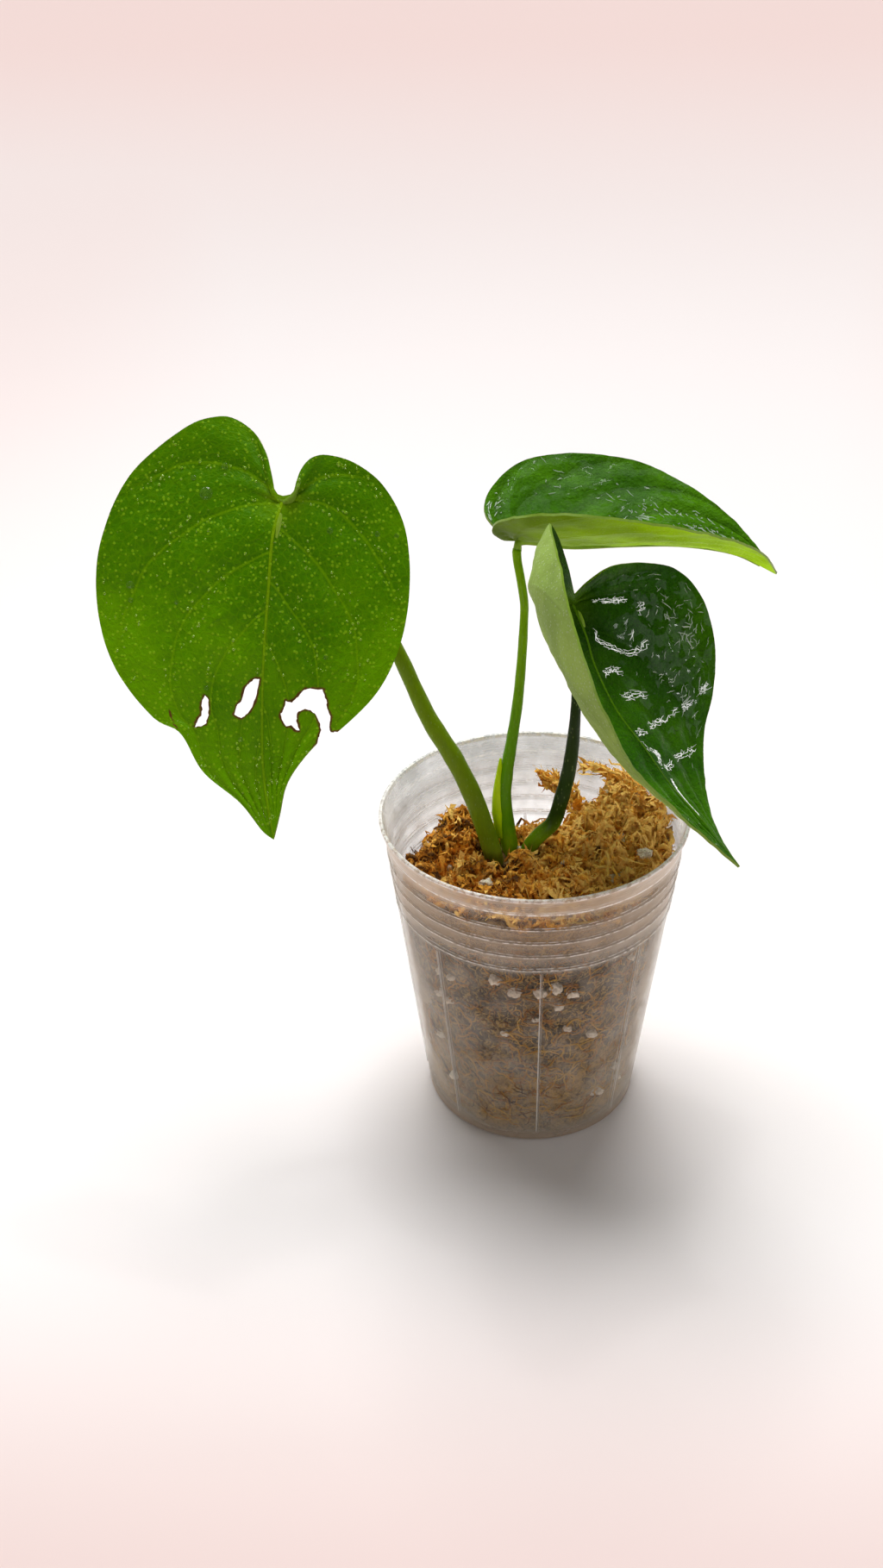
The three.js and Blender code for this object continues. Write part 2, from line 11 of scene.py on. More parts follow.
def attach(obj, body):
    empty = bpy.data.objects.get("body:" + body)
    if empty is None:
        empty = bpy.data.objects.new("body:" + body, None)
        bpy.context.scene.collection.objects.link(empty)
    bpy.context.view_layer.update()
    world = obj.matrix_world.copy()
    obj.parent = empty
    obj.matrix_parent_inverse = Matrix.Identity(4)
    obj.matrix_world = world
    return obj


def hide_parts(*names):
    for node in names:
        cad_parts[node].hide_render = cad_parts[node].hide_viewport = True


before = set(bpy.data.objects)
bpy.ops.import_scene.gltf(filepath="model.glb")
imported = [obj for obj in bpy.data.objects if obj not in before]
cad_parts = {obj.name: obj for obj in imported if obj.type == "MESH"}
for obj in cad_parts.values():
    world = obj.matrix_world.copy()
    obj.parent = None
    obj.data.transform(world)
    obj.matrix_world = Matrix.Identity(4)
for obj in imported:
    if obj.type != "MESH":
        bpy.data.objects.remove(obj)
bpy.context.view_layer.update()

bl_info = {
    "name": "Potted cupcake monstera",
    "version": (1, 0, 0),
    "blender": (4, 5, 0),
    "location": "View3D > Sidebar > Plant",
    "description": "Builds a young climbing aroid with three leaves in a clear nursery pot",
    "category": "Add Mesh",
}

MM = 0.001
TURN = 2 * math.pi

# The picture's height and the camera's focal length, both in pixels.
FRAME_PIXELS = 1819
FOCAL_PIXELS = 1800

# Sizes are in millimetres, as in the part's source, and pieces become metres when they are kept.
POT_HEIGHT = 100
BASE_RADIUS = 32.4
BASE_CORNER = 1.2
WALL = 0.8
DRAIN_COUNT = 8
DRAIN_CIRCLE = 20
DRAIN_RADIUS = 3
DRAIN_DEPTH = 4
LIP_BOTTOM = 93.6
LIP_CORNER_RADIUS = 43.2
RING_HEIGHTS = (73.1, 78.2, 83.3, 88.5)
RIB_COUNT = 8
RIB_TURN = math.radians(-86)
RIB_BOTTOM = 4
RIB_TOP = 72
RIB_DEPTH = 0.6
RIB_WIDTH = 0.8
MIX_LEVEL = 88
MIX_EDGE = 41
MOSS_REACH = 40.5
WALL_MOSS_REACH = 40
STEM_TOP = 120

# The stalks, from the mix up, and the blades. A blade's margins run from its notch to its tip.
PETIOLE_LEFT = {
    "points": [(-11, -6.2, 83), (-12.2, -6.5, 90.5), (-17, -5, 106), (-22.5, -3, 118), (-30, -1, 131),
               (-38, 2, 149.5), (-46, 4, 166), (-54.5, 3, 181), (-61, -0.5, 190.5), (-64, -4, 194.2)],
    "radii": [2.7, 2.75, 2.75, 2.6, 2.3, 2.05, 1.9, 1.8, 1.7, 1.7],
}
PETIOLE_MIDDLE = {
    "points": [(-6.3, -2, 83), (-7, -2, 88.5), (-8.5, -1, 102.5), (-8, 0.5, 111.5), (-6.5, 3, 121.5),
               (-5, 5, 132.5), (-4, 8, 144.5), (-3.5, 11, 155), (-3.5, 12, 160), (-4.5, 14, 166),
               (-5.5, 15.5, 171)],
    "radii": [2.5, 2.45, 2.1, 1.9, 1.65, 1.5, 1.4, 1.3, 1.2, 1.2, 1.25],
    "sheath": [(-9.6, 0.5, 117.5), (-10, 0, 112), (-10.3, -1.5, 103), (-9, -2.3, 91)],
    "sheath_radii": [0.3, 1.3, 2.1, 1.9],
}
PETIOLE_RIGHT = {
    "points": [(-2.6, -6.2, 83), (-1.5, -5.5, 89.5), (1.5, -5, 94), (5.5, -4, 98), (7.5, -4, 105),
               (9.5, -3, 114), (10.5, -3, 123), (11, -4, 133), (11, -5, 141.5), (10.5, -6.5, 151),
               (10, -8, 161), (9.2, -9.4, 167)],
    "radii": [2.2, 2.2, 2.2, 2.2, 2.05, 1.9, 1.6, 1.35, 1.25, 1.2, 1.2, 1.25],
}
LEAF_LEFT = {
    "petiole": PETIOLE_LEFT,
    "bow": 1.6,
    "rib": [(-65, -8, 197), (-67, -14, 190.5), (-68, -22, 178), (-69, -31, 163), (-69.5, -38.5, 147),
            (-69, -44, 135), (-66.5, -51, 122.5)],
    "right": [(-65, -6.5, 198), (-66.8, -6.8, 199.1), (-67.4, -5, 201), (-68.3, -2.6, 204), (-70, 1, 207.6),
              (-74, 5.5, 211.5), (-81.5, 8, 214), (-92, 6.5, 211), (-106, 0, 200.5), (-113, -10, 186),
              (-113.5, -18.5, 172), (-108.5, -27.5, 159.5), (-98.5, -34.5, 149), (-91, -37, 145.5),
              (-85, -42, 137), (-75.5, -46, 130.5), (-69.5, -50, 124.5), (-66.5, -51, 122.5)],
    "left": [(-65, -6.5, 198), (-62.2, -6.5, 198.8), (-61.4, -4.9, 201.2), (-60.2, -2.4, 204),
             (-58, 0.2, 205.8), (-54.5, 3, 205.5), (-47.5, 4, 203), (-40, 2.5, 197.2), (-34.5, -2, 187.5),
             (-33, -10, 175), (-35, -18.5, 163), (-40.5, -26.5, 153), (-50, -33, 145), (-56.5, -36.5, 142),
             (-63, -42.5, 135), (-65, -47.5, 128), (-66.5, -51, 122.5)],
    "right_sag": [0, 0.5, 1.5, 1.5, 1, 0],
    "left_sag": [0, 0.5, 1.5, 1.5, 1, 0],
    "knee": [(-65.2, -7, 195.6), (-66, -11.5, 192.2)],
}
LEAF_TOP = {
    "petiole": PETIOLE_MIDDLE,
    "rib_drop": 0.35,
    "rib": [(-5.5, 17, 176.5), (7, 17, 175), (19, 17.5, 175), (31, 18, 175), (44, 19, 174),
            (55, 20, 171), (66, 21, 165)],
    "left": [(-6.5, 17, 177), (-9, 19.5, 177), (-12.5, 22, 178.5), (-15, 28, 181), (-13, 35, 184.5),
             (-6, 44, 188), (3, 48, 189), (14, 49, 189), (29, 46, 187.5), (42, 40, 183), (53, 33, 177),
             (60, 27, 171), (66, 21, 165)],
    "right": [(-6.5, 17, 177), (-9, 14.5, 177.5), (-11.5, 11, 180.5), (-12, 6, 184.3), (-10, 1, 188.3),
              (-4, -6, 192.5), (5, -10.5, 195), (16, -11, 194.5), (32, -8, 191), (45, -2, 186),
              (56, 7, 179), (62, 14, 172.5), (66, 21, 165)],
    "left_sag": [0, 1, 1.5, 1.5, 1, 0],
    "right_sag": [0, 1, 1.5, 1, 0.5, 0],
    "knee": [(-5.5, 16.1, 174.2), (-3.6, 17, 176)],
}
LEAF_RIGHT = {
    "petiole": PETIOLE_RIGHT,
    "rib": [(9, -12, 171), (12.5, -17, 164.5), (15, -22, 158), (20.5, -29.5, 149.5), (27.5, -35, 142),
            (35, -40, 133), (43.5, -44.5, 125), (52.5, -49, 115)],
    "right": [(9.5, -11, 173), (7.5, -15, 183.5), (5, -16, 191.5), (3, -16.5, 195), (3.5, -22.5, 194.5),
              (5.5, -34, 191), (7.5, -43.5, 185), (11, -51, 176.5), (14.5, -55, 167.5), (19, -56, 158),
              (24.5, -54.5, 146.5), (32.5, -51.5, 136), (42, -49, 125), (52.5, -49, 115)],
    "left": [(9.5, -11, 173), (13.5, -7.5, 175.5), (20, -1.5, 177), (29, 4, 175.5), (37.5, 7, 172),
             (44.5, 6, 164), (48, 0.5, 152.5), (47.5, -6.5, 142), (45, -14.5, 134.5), (44.5, -24, 129),
             (45.5, -36, 123.5), (49, -44.5, 118.5), (52.5, -49, 115)],
    "right_sag": [0, 6, 9, 8.5, 6.5, 4.5, 2, 0.5, 0],
    "left_sag": [0, 1, 2, 2, 1, 0],
    "knee": [(9.4, -11.2, 169.4), (11.4, -14.2, 166.6)],
}
# The part of a margin whose veins all start at the stalk, how they crowd after it, and how many there are.
FAN = 0.3
VEIN_SPACING = 1.15
VEINS = 8
# The rib's radius from the stalk to the tip.
RIB_RADII = [1.25, 1, 0.8, 0.65, 0.5, 0.4]
# A blade's materials, after the one of its upper face.
BLADE_BACK, BLADE_RIM, BLADE_TORN, BLADE_RIB = 1, 2, 3, 4
# What the values of a blade's span layer are divided by: the distance from the rib, and the spread.
FROM_RIB_UNIT = 100
SPREAD_UNIT = 1000

# Bites and tears in the left blade, across and up from the blade's base in the blade's own plane: how far to
# both sides of that plane the cuts go, the heights they lie between, and the points of the largest crumb.
CUT_DEPTH = 12
TORN_BAND = (-68, -42)
CRUMB_POINTS = 400
TEARS = [
    [(-21.3, -48.4), (-20.4, -49.5), (-20.5, -52.8), (-21.3, -55.8), (-23, -56.4), (-24.5, -56.4),
     (-23.7, -55.3), (-22.5, -53.5), (-22.1, -50.2)],
    [(-8.4, -44.7), (-6.8, -44.7), (-7.4, -47.6), (-8.2, -50.5), (-10.1, -53.4), (-11.9, -54.5),
     (-13.8, -53.7), (-12.9, -51.2), (-11.5, -49.7), (-10.7, -46.8), (-9.5, -45.7)],
    [(4.8, -47.3), (8.8, -47.6), (9.7, -50.2), (10.1, -53.2), (10.6, -55), (10.2, -57.4), (10.6, -58.5),
     (11.8, -58.6), (15.5, -58.2), (14, -66), (6, -63.6), (7.3, -60.6), (8, -58.3), (7.9, -56.1),
     (6.8, -53.8), (5.5, -52.8), (4.3, -52.5), (2.8, -53), (2.2, -54.1), (2.1, -55.5), (2.7, -58.2),
     (1.6, -57.7), (0.5, -56.6), (-0.6, -56.7), (-1.5, -55.5), (-1.9, -53.6), (-0.9, -52.2),
     (-0.5, -50.4), (1.1, -50.9), (2.5, -49.3), (4, -47.9)],
]
# A closed slit in the same blade, down from its notch and across.
SLIT = [(0.733, 0.829), (0.75, 0.88), (0.777, 0.975)]
BLADE_PLANE = (Matrix.Translation(LEAF_LEFT["rib"][0]) @ Matrix.Rotation(math.radians(4), 4, "Z")
               @ Matrix.Rotation(math.radians(58), 4, "X"))


def smooth(low, high, value):
    """Goes smoothly from 0 to 1 while value goes from low to high."""
    part = min(max((value - low) / (high - low), 0), 1)
    return part * part * (3 - 2 * part)


def polar(radius, turn, height=0.0):
    """The point at a radius and a turn round the pot's axis."""
    return Vector((radius * math.cos(turn), radius * math.sin(turn), height))


def drift(rng):
    """A random step, alike in every direction."""
    return Vector([rng.gauss(0, 1) for _ in range(3)])


def scaled(colour, part):
    return [channel * part for channel in colour]


def stepped(values, part):
    """The value at a fraction of the way through evenly spaced values."""
    place = min(max(part, 0), 1) * (len(values) - 1)
    index = min(int(place), len(values) - 2)
    return values[index] + (values[index + 1] - values[index]) * (place - index)


class Line:
    """A smooth line through points, read by the fraction of its length."""

    def __init__(self, points, cuts=40):
        knots = [Vector(point) for point in points]
        knots = [2 * knots[0] - knots[1], *knots, 2 * knots[-1] - knots[-2]]
        self.points = []
        for before, start, end, after in zip(knots, knots[1:], knots[2:], knots[3:]):
            for cut in range(cuts):
                t = cut / cuts
                leave = (end - before) / 2
                arrive = (after - start) / 2
                self.points.append(start * (2 * t ** 3 - 3 * t ** 2 + 1) + leave * (t ** 3 - 2 * t ** 2 + t)
                                   + end * (3 * t ** 2 - 2 * t ** 3) + arrive * (t ** 3 - t ** 2))
        self.points.append(knots[-2])
        self.reach = [0]
        for start, end in zip(self.points, self.points[1:]):
            self.reach.append(self.reach[-1] + (end - start).length)
        self.length = self.reach[-1]

    def at(self, part):
        goal = min(max(part, 0), 1) * self.length
        index = min(max(bisect.bisect(self.reach, goal) - 1, 0), len(self.points) - 2)
        span = self.reach[index + 1] - self.reach[index]
        return self.points[index].lerp(self.points[index + 1], (goal - self.reach[index]) / max(span, 1e-9))


def vein_turn(down, out, side):
    """Counts the side veins: it is halfway between two whole numbers on a vein."""
    return (down - out * (0.06 * out + max(0, 0.55 * (down - 0.12)))) * VEINS + (0.5 if side < 0 else 0)


class Blade:
    """A leaf blade's surface, from its notch (0) to its tip (1), and from right (1) to left (-1)."""

    def __init__(self, leaf):
        self.rib = Line(leaf["rib"])
        self.bow = leaf.get("bow", 0)
        self.sides = ((Line(leaf["left"]), leaf["left_sag"], 1), (Line(leaf["right"]), leaf["right_sag"], -1))

    def foot(self, down):
        """Where along the rib the vein to a point of the margin starts."""
        return min(max((down - FAN) / (1 - FAN), 0), 1) ** VEIN_SPACING

    def at(self, down, across):
        margin, sag, sign = self.sides[0 if across < 0 else 1]
        out = abs(across)
        at_rib = self.foot(down)
        foot = self.rib.at(at_rib)
        along = self.rib.at(at_rib + 0.02) - self.rib.at(at_rib - 0.02)
        reach = margin.at(down) - foot
        normal = reach.cross(along).normalized()
        bulge = 4 * out * (1 - out)
        if self.bow and down < 0.25:
            bow = self.bow * smooth(0, 0.03, down) * smooth(0.25, 0.08, down) * bulge
            foot = foot + (along - along.project(reach)).normalized() * bow
        return foot + reach * out + normal * (sign * stepped(sag, down) * bulge)

    def normal(self, down, across):
        step = 0.004
        across = min(max(across, step - 1), 1 - step)
        down = min(max(down, step), 1 - step)
        right = self.at(down, across + step) - self.at(down, across - step)
        ahead = self.at(down + step, across) - self.at(down - step, across)
        return right.cross(ahead).normalized()


class Socket:
    """A shader value that takes part in Python expressions."""

    def __init__(self, paint, out):
        self.paint = paint
        self.out = out

    def __add__(self, other):
        return self.paint.maths("ADD", self, other)

    def __radd__(self, other):
        return self.paint.maths("ADD", other, self)

    def __sub__(self, other):
        return self.paint.maths("SUBTRACT", self, other)

    def __rsub__(self, other):
        return self.paint.maths("SUBTRACT", other, self)

    def __mul__(self, other):
        return self.paint.maths("MULTIPLY", self, other)

    def __rmul__(self, other):
        return self.paint.maths("MULTIPLY", other, self)

    def __pow__(self, other):
        return self.paint.maths("POWER", self, other)

    def __abs__(self):
        return self.paint.maths("ABSOLUTE", self)


class Paint:
    """A material, with the Principled shader that its expressions feed."""

    def __init__(self, name, **constants):
        self.material = bpy.data.materials.new(name)
        self.material.use_nodes = True
        self.tree = self.material.node_tree
        self.tree.nodes.clear()
        self.shader = self.tree.nodes.new("ShaderNodeBsdfPrincipled")
        output = self.tree.nodes.new("ShaderNodeOutputMaterial")
        self.tree.links.new(self.shader.outputs[0], output.inputs[0])
        for name, value in constants.items():
            self.plug(self.shader.inputs[name.replace("_", " ")], value)

    def plug(self, socket, value):
        if isinstance(value, Socket):
            self.tree.links.new(value.out, socket)
        elif socket.type == "RGBA":
            socket.default_value = (*value[:3], 1)
        else:
            socket.default_value = value

    def node(self, kind, settings, values, output=0):
        node = self.tree.nodes.new(kind)
        for key, value in settings.items():
            if key == "stops":
                ramp = node.color_ramp.elements
                while len(ramp) < len(value):
                    ramp.new(1)
                for stop, (place, colour) in zip(ramp, value):
                    stop.position = place
                    stop.color = (*colour, 1)
            else:
                setattr(node, key, value)
        for key, value in (values.items() if isinstance(values, dict) else enumerate(values)):
            self.plug(node.inputs[key], value)
        return Socket(self, node.outputs[output])

    def maths(self, operation, *values):
        return self.node("ShaderNodeMath", {"operation": operation}, values)

    def feed(self, **values):
        for name, value in values.items():
            self.plug(self.shader.inputs[name.replace("_", " ")], value)
        return self.material

    def place(self):
        """The point on the piece, in millimetres."""
        point = self.node("ShaderNodeTexCoord", {}, {}, "Object")
        return self.node("ShaderNodeVectorMath", {"operation": "SCALE"}, {0: point, "Scale": 1 / MM})

    def split(self, vector):
        node = self.tree.nodes.new("ShaderNodeSeparateXYZ")
        self.plug(node.inputs[0], vector)
        return [Socket(self, out) for out in node.outputs]

    def uv(self, name):
        return self.split(self.node("ShaderNodeUVMap", {"uv_map": name}, {}))

    def torn(self):
        """How near the point is to a torn edge."""
        return self.node("ShaderNodeAttribute", {"attribute_name": "torn"}, {}, "Fac")

    def stretch(self, vector, x, y, z):
        return self.node("ShaderNodeVectorMath", {"operation": "MULTIPLY"}, (vector, (x, y, z)))

    def joined(self, x, y, z=0):
        return self.node("ShaderNodeCombineXYZ", {}, (x, y, z))

    def clouds(self, vector, grain, detail=2.0, roughness=0.5, warp=0.0):
        """Soft noise from 0 to 1; grain is the size of one lump in millimetres."""
        return self.node("ShaderNodeTexNoise", {}, {"Vector": vector, "Scale": 1 / grain, "Detail": detail,
                                                    "Roughness": roughness, "Distortion": warp})

    def cells(self, vector, grain, feature="F1"):
        return self.node("ShaderNodeTexVoronoi", {"feature": feature}, {"Vector": vector, "Scale": 1 / grain},
                         "Distance")

    def facing(self, blend):
        """How far the face turns away from the eye."""
        return self.node("ShaderNodeLayerWeight", {}, {"Blend": blend}, "Facing")

    def clamp(self, value, low=0.0, high=1.0):
        return self.node("ShaderNodeClamp", {}, (value, low, high))

    def rise(self, value, low, high, start=0.0, end=1.0):
        """Goes smoothly from start to end while value goes from low to high."""
        return self.node("ShaderNodeMapRange", {"interpolation_type": "SMOOTHSTEP"},
                         (value, low, high, start, end))

    def fall(self, value, low, high):
        return self.rise(value, low, high, 1.0, 0.0)

    def mix(self, part, first, second):
        return self.node("ShaderNodeMix", {"data_type": "RGBA"}, {0: part, 6: first, 7: second}, 2)

    def shade(self, colour, part):
        """The colour made darker or lighter by a number."""
        return self.node("ShaderNodeVectorMath", {"operation": "SCALE"}, {0: colour, "Scale": part})

    def relief(self, height, depth=1.0, below=None):
        """A normal from a height in millimetres, over another normal where one is given."""
        values = {"Strength": 1.0, "Distance": depth * MM, "Height": height}
        if below is not None:
            values["Normal"] = below
        return self.node("ShaderNodeBump", {}, values)


def sheet(columns, rows, place, name, extra=None):
    """A grid bent into shape: place takes 0 to 1 across and 0 to 1 along."""
    bm = bmesh.new()
    layer = bm.loops.layers.uv.new(name)
    second = bm.loops.layers.uv.new(extra[0]) if extra else None
    bmesh.ops.create_grid(bm, x_segments=columns, y_segments=rows, size=1)
    spots = {vert: ((vert.co.x + 1) / 2, (vert.co.y + 1) / 2) for vert in bm.verts}
    seconds = {vert: extra[1](*spot) for vert, spot in spots.items()} if extra else {}
    for face in bm.faces:
        for loop in face.loops:
            loop[layer].uv = spots[loop.vert]
            if extra:
                loop[second].uv = seconds[loop.vert]
    for vert, spot in spots.items():
        vert.co = place(*spot)
    return bm, spots


def rod(line, radius, sides, steps, start=0.0, end=1.0, flat=1.0):
    """A closed round rod along a line, with its radius given by the fraction from start to end."""
    stops = [start + (end - start) * step / steps for step in range(steps + 1)]
    centres = [line.at(stop) for stop in stops]
    side = None
    frames = []
    for index, centre in enumerate(centres):
        ahead = (centres[min(index + 1, steps)] - centres[max(index - 1, 0)]).normalized()
        side = Vector((0, 1, 0)).cross(ahead) if side is None else side - ahead * side.dot(ahead)
        side.normalize()
        frames.append((centre, side.copy(), ahead.cross(side)))

    def place(across, along):
        index = round(along * steps)
        centre, one, other = frames[index]
        turn = TURN * across
        size = 0 if index in (0, steps) else radius((index - 0.5) / (steps - 1))
        if index in (0, steps):
            centre = frames[1 if index == 0 else steps - 1][0]
        return centre + one * (math.cos(turn) * size) + other * (math.sin(turn) * size * flat)

    bm, _ = sheet(sides, steps, place, "stalk")
    bmesh.ops.remove_doubles(bm, verts=bm.verts, dist=1e-4)
    bmesh.ops.recalc_face_normals(bm, faces=bm.faces)
    return bm


def bundle(routes, sides):
    """One mesh of many strands. Each route is its points, its radii, its tint and the way it leans.
    One side makes flat ribbons."""
    rows = len(routes[0][0])
    count = len(routes)
    bm = bmesh.new()
    layer = bm.loops.layers.uv.new("strand")
    bmesh.ops.create_grid(bm, x_segments=sides, y_segments=count * rows - 1, size=1)
    bm.verts.ensure_lookup_table()
    wide = sides + 1
    for index, (points, radii, tint, lean) in enumerate(routes):
        for row in range(rows):
            ahead = (points[min(row + 1, rows - 1)] - points[max(row - 1, 0)]).normalized()
            side = ahead.cross(lean).normalized()
            other = side.cross(ahead)
            for column in range(wide):
                turn = TURN * column / sides if sides > 2 else math.pi * column
                vert = bm.verts[(index * rows + row) * wide + column]
                vert.co = points[row] + (side * math.cos(turn) + other * math.sin(turn)) * radii[row]
    bridges = []
    for face in bm.faces:
        low = min(loop.vert.index for loop in face.loops) // wide
        if low % rows == rows - 1:
            bridges.append(face)
            continue
        tint = routes[low // rows][2]
        for loop in face.loops:
            loop[layer].uv = (tint, (loop.vert.index // wide % rows) / (rows - 1))
    bmesh.ops.delete(bm, geom=bridges, context="FACES")
    if sides > 2:
        bmesh.ops.remove_doubles(bm, verts=bm.verts, dist=1e-4)
        bmesh.ops.recalc_face_normals(bm, faces=bm.faces)
    return bm


def joined(*parts):
    """One bmesh out of several."""
    whole = bmesh.new()
    for part in parts:
        mesh = bpy.data.meshes.new("part")
        part.to_mesh(mesh)
        part.free()
        whole.from_mesh(mesh)
        bpy.data.meshes.remove(mesh)
    return whole


def spun(profile, steps, merge):
    """A profile of radius and height, turned round the pot's axis."""
    bm = bmesh.new()
    verts = [bm.verts.new((radius, 0, height)) for radius, height in profile]
    edges = [bm.edges.new(pair) for pair in zip(verts, verts[1:])]
    bmesh.ops.spin(bm, geom=verts + edges, cent=(0, 0, 0), axis=(0, 0, 1), angle=TURN, steps=steps,
                   use_merge=True)
    bmesh.ops.remove_doubles(bm, verts=bm.verts, dist=merge)
    return bm


def placed(bm, name, materials=()):
    """The bmesh as an object in the scene."""
    mesh = bpy.data.meshes.new(name)
    bm.to_mesh(mesh)
    bm.free()
    for material in materials:
        mesh.materials.append(material)
    item = bpy.data.objects.new(name, mesh)
    bpy.context.scene.collection.objects.link(item)
    return item


def finished(bm, materials, *modifiers):
    """The bmesh with modifiers applied to it. What they cut with is removed with its mesh."""
    work = placed(bm, "work", materials)
    meshes = [work.data]
    for kind, settings in modifiers:
        modifier = work.modifiers.new(kind, kind)
        for key, value in settings.items():
            setattr(modifier, key, value)
        if "object" in settings:
            meshes.append(settings["object"].data)
    done = bpy.data.meshes.new_from_object(work.evaluated_get(bpy.context.evaluated_depsgraph_get()))
    result = bmesh.new()
    result.from_mesh(done)
    for mesh in [done, *meshes]:
        bpy.data.meshes.remove(mesh)
    return result


def keep(bm, name, materials, slot, nodes=(), sharp=None):
    """Makes a bmesh in millimetres a piece of the plant, in metres."""
    if not bm.faces:
        raise RuntimeError(name + " came out empty")
    bmesh.ops.scale(bm, vec=(MM, MM, MM), verts=bm.verts)
    for face in bm.faces:
        face.smooth = True
    piece = placed(bm, name, materials)
    if sharp:
        piece.data.set_sharp_from_angle(angle=math.radians(sharp))
    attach(piece, "root")
    if nodes:
        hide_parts(*nodes)


def wall_radius(height):
    """The outside of the tapered wall."""
    rise = (height - BASE_CORNER) * (LIP_CORNER_RADIUS - BASE_RADIUS) / (LIP_BOTTOM - BASE_CORNER)
    return BASE_RADIUS + rise


def inner_radius(height):
    return wall_radius(height) - WALL


def mix_height(x, y):
    """The top of the mix: level by the stems, heaped at the right, hollow behind, fallen at the left."""
    start = 3 + 9 * smooth(8, 18, -x) + 8 * smooth(6, 16, x) + 40 * smooth(18, 30, x)
    hollow = 20 * smooth(start, start + 16, y)
    left_fall = 13 * smooth(-3, 6, -x - (30 - 0.25 * y)) * smooth(-36, -22, y)
    heap = 6 * math.exp(-(((x - 26) / 13) ** 2 + ((y - 14) / 12) ** 2) / 2)
    lumps = 0.9 * math.sin(0.31 * x + 1.1) * math.sin(0.37 * y - 0.4) + 0.5 * math.sin(0.7 * x - 0.5 * y)
    return MIX_LEVEL - max(hollow, left_fall) + heap + lumps


def moss_top(x, y):
    """The top of the moss, which lies in clumps, and how much a clump stands up there."""
    clump = noise.noise(Vector((x, y, 0)) * 0.17) + 0.6 * noise.noise(Vector((x, y, 7)) * 0.4)
    return mix_height(x, y) + 4.2 * clump - 0.4, clump


# How many steps a strand has, and how many strands, ribbons and grains there are. A tuft has its strands for
# each millimetre of its radius.
STRAND_STEPS = 8
FIBRES = 900
RIBBONS = 650
TUFT_STRANDS = 9
TUFT_RIBBONS = 14
WALL_STRANDS = 1500
WALL_GRAINS = 34
GRAINS = 66
# Tufts of moss that stand up from the heap and arch over the hollow, as a line and the radii along it.
TUFTS = [
    ([(33, 12, 88), (32, 20, 91.5), (26, 27, 93.5), (19, 30, 94.5), (15, 31, 94)], [2.8, 3, 2.6, 2, 1.2]),
    ([(15, 17, 84), (10, 24, 90), (4, 29, 93), (0, 32, 94.5)], [2.2, 1.9, 1.7, 1.1]),
]


def length(name, description, value):
    return FloatProperty(name=name, description=description, default=value, unit="LENGTH")


def colour(name, description, value):
    return FloatVectorProperty(name=name, description=description, default=value, size=3,
                               subtype="COLOR", min=0, max=1)


class PlantPotSettings(bpy.types.PropertyGroup):
    height: length("Height", "Height of the pot", 0.1)
    rim_radius: length("Rim radius", "Radius of the rim", 0.045)
    haze: FloatProperty(name="Haze", description="How much one face of the plastic hides", default=0.055,
                        min=0, max=1, subtype="FACTOR")
    plastic: colour("Plastic", "Colour of the hazy plastic", (0.66, 0.6, 0.5))


class PlantMixSettings(bpy.types.PropertyGroup):
    strands: IntProperty(name="Strands", description="Moss strands on the top", default=1200, min=10)
    fuzz: IntProperty(name="Fuzz", description="Leaflets on the strands", default=17000, min=10)
    moss: colour("Moss", "Colour of the dry moss", (0.74, 0.29, 0.03))
    gold: colour("Gold", "Colour of the brightest moss", (1.0, 0.52, 0.07))
    # The dark low end of the moss's colours: its own dark inside and painted shade in the hollows.
    earth_and_shade: colour("Earth", "Colour deep in the moss", (0.09, 0.038, 0.01))
    perlite: colour("Perlite", "Colour of the white grains", (0.86, 0.76, 0.62))


class PlantStalkSettings(bpy.types.PropertyGroup):
    light: colour("Light stalk", "Upper colour of the left and middle stalks", (0.15, 0.26, 0.002))
    # The right stalk's near-black upper colour is partly its own dark green and partly painted shade.
    dark: colour("Dark stalk", "Upper colour of the right stalk", (0.012, 0.032, 0.002))
    root: colour("Crown", "Colour of the short stem and the roots", (0.15, 0.11, 0.03))


class PlantLeafSettings(bpy.types.PropertyGroup):
    thickness: length("Thickness", "Thickness of a blade", 0.0007)
    light: colour("Light leaf", "Colour of the left leaf", (0.06, 0.2, 0))
    top: colour("Top leaf", "Colour of the upper face of the top leaf", (0.03, 0.12, 0.001))
    wet: colour("Right leaf", "Colour of the upper face of the right leaf", (0.02, 0.095, 0.001))
    top_below: colour("Underside, top leaf", "Colour below the top leaf", (0.3, 0.54, 0.003))
    right_below: colour("Underside, right leaf", "Colour below the right leaf", (0.38, 0.56, 0.12))
    drops: IntProperty(name="Drops", description="Water drops on the left leaf", default=1100, min=1)


class PlantStageSettings(bpy.types.PropertyGroup):
    floor: colour("Floor", "Colour of the floor round the pot", (0.93, 0.89, 0.88))
    far: colour("Far floor", "Colour of the floor away from the pot", (0.93, 0.735, 0.7))
    sky: FloatProperty(name="Sky", description="Strength of the light from all round", default=0.115)
    sun: FloatProperty(name="Sun", description="Strength of the soft light from above", default=2.92)


class PlantSettings(bpy.types.PropertyGroup):
    pot: PointerProperty(type=PlantPotSettings)
    mix: PointerProperty(type=PlantMixSettings)
    stalk: PointerProperty(type=PlantStalkSettings)
    leaf: PointerProperty(type=PlantLeafSettings)
    stage: PointerProperty(type=PlantStageSettings)


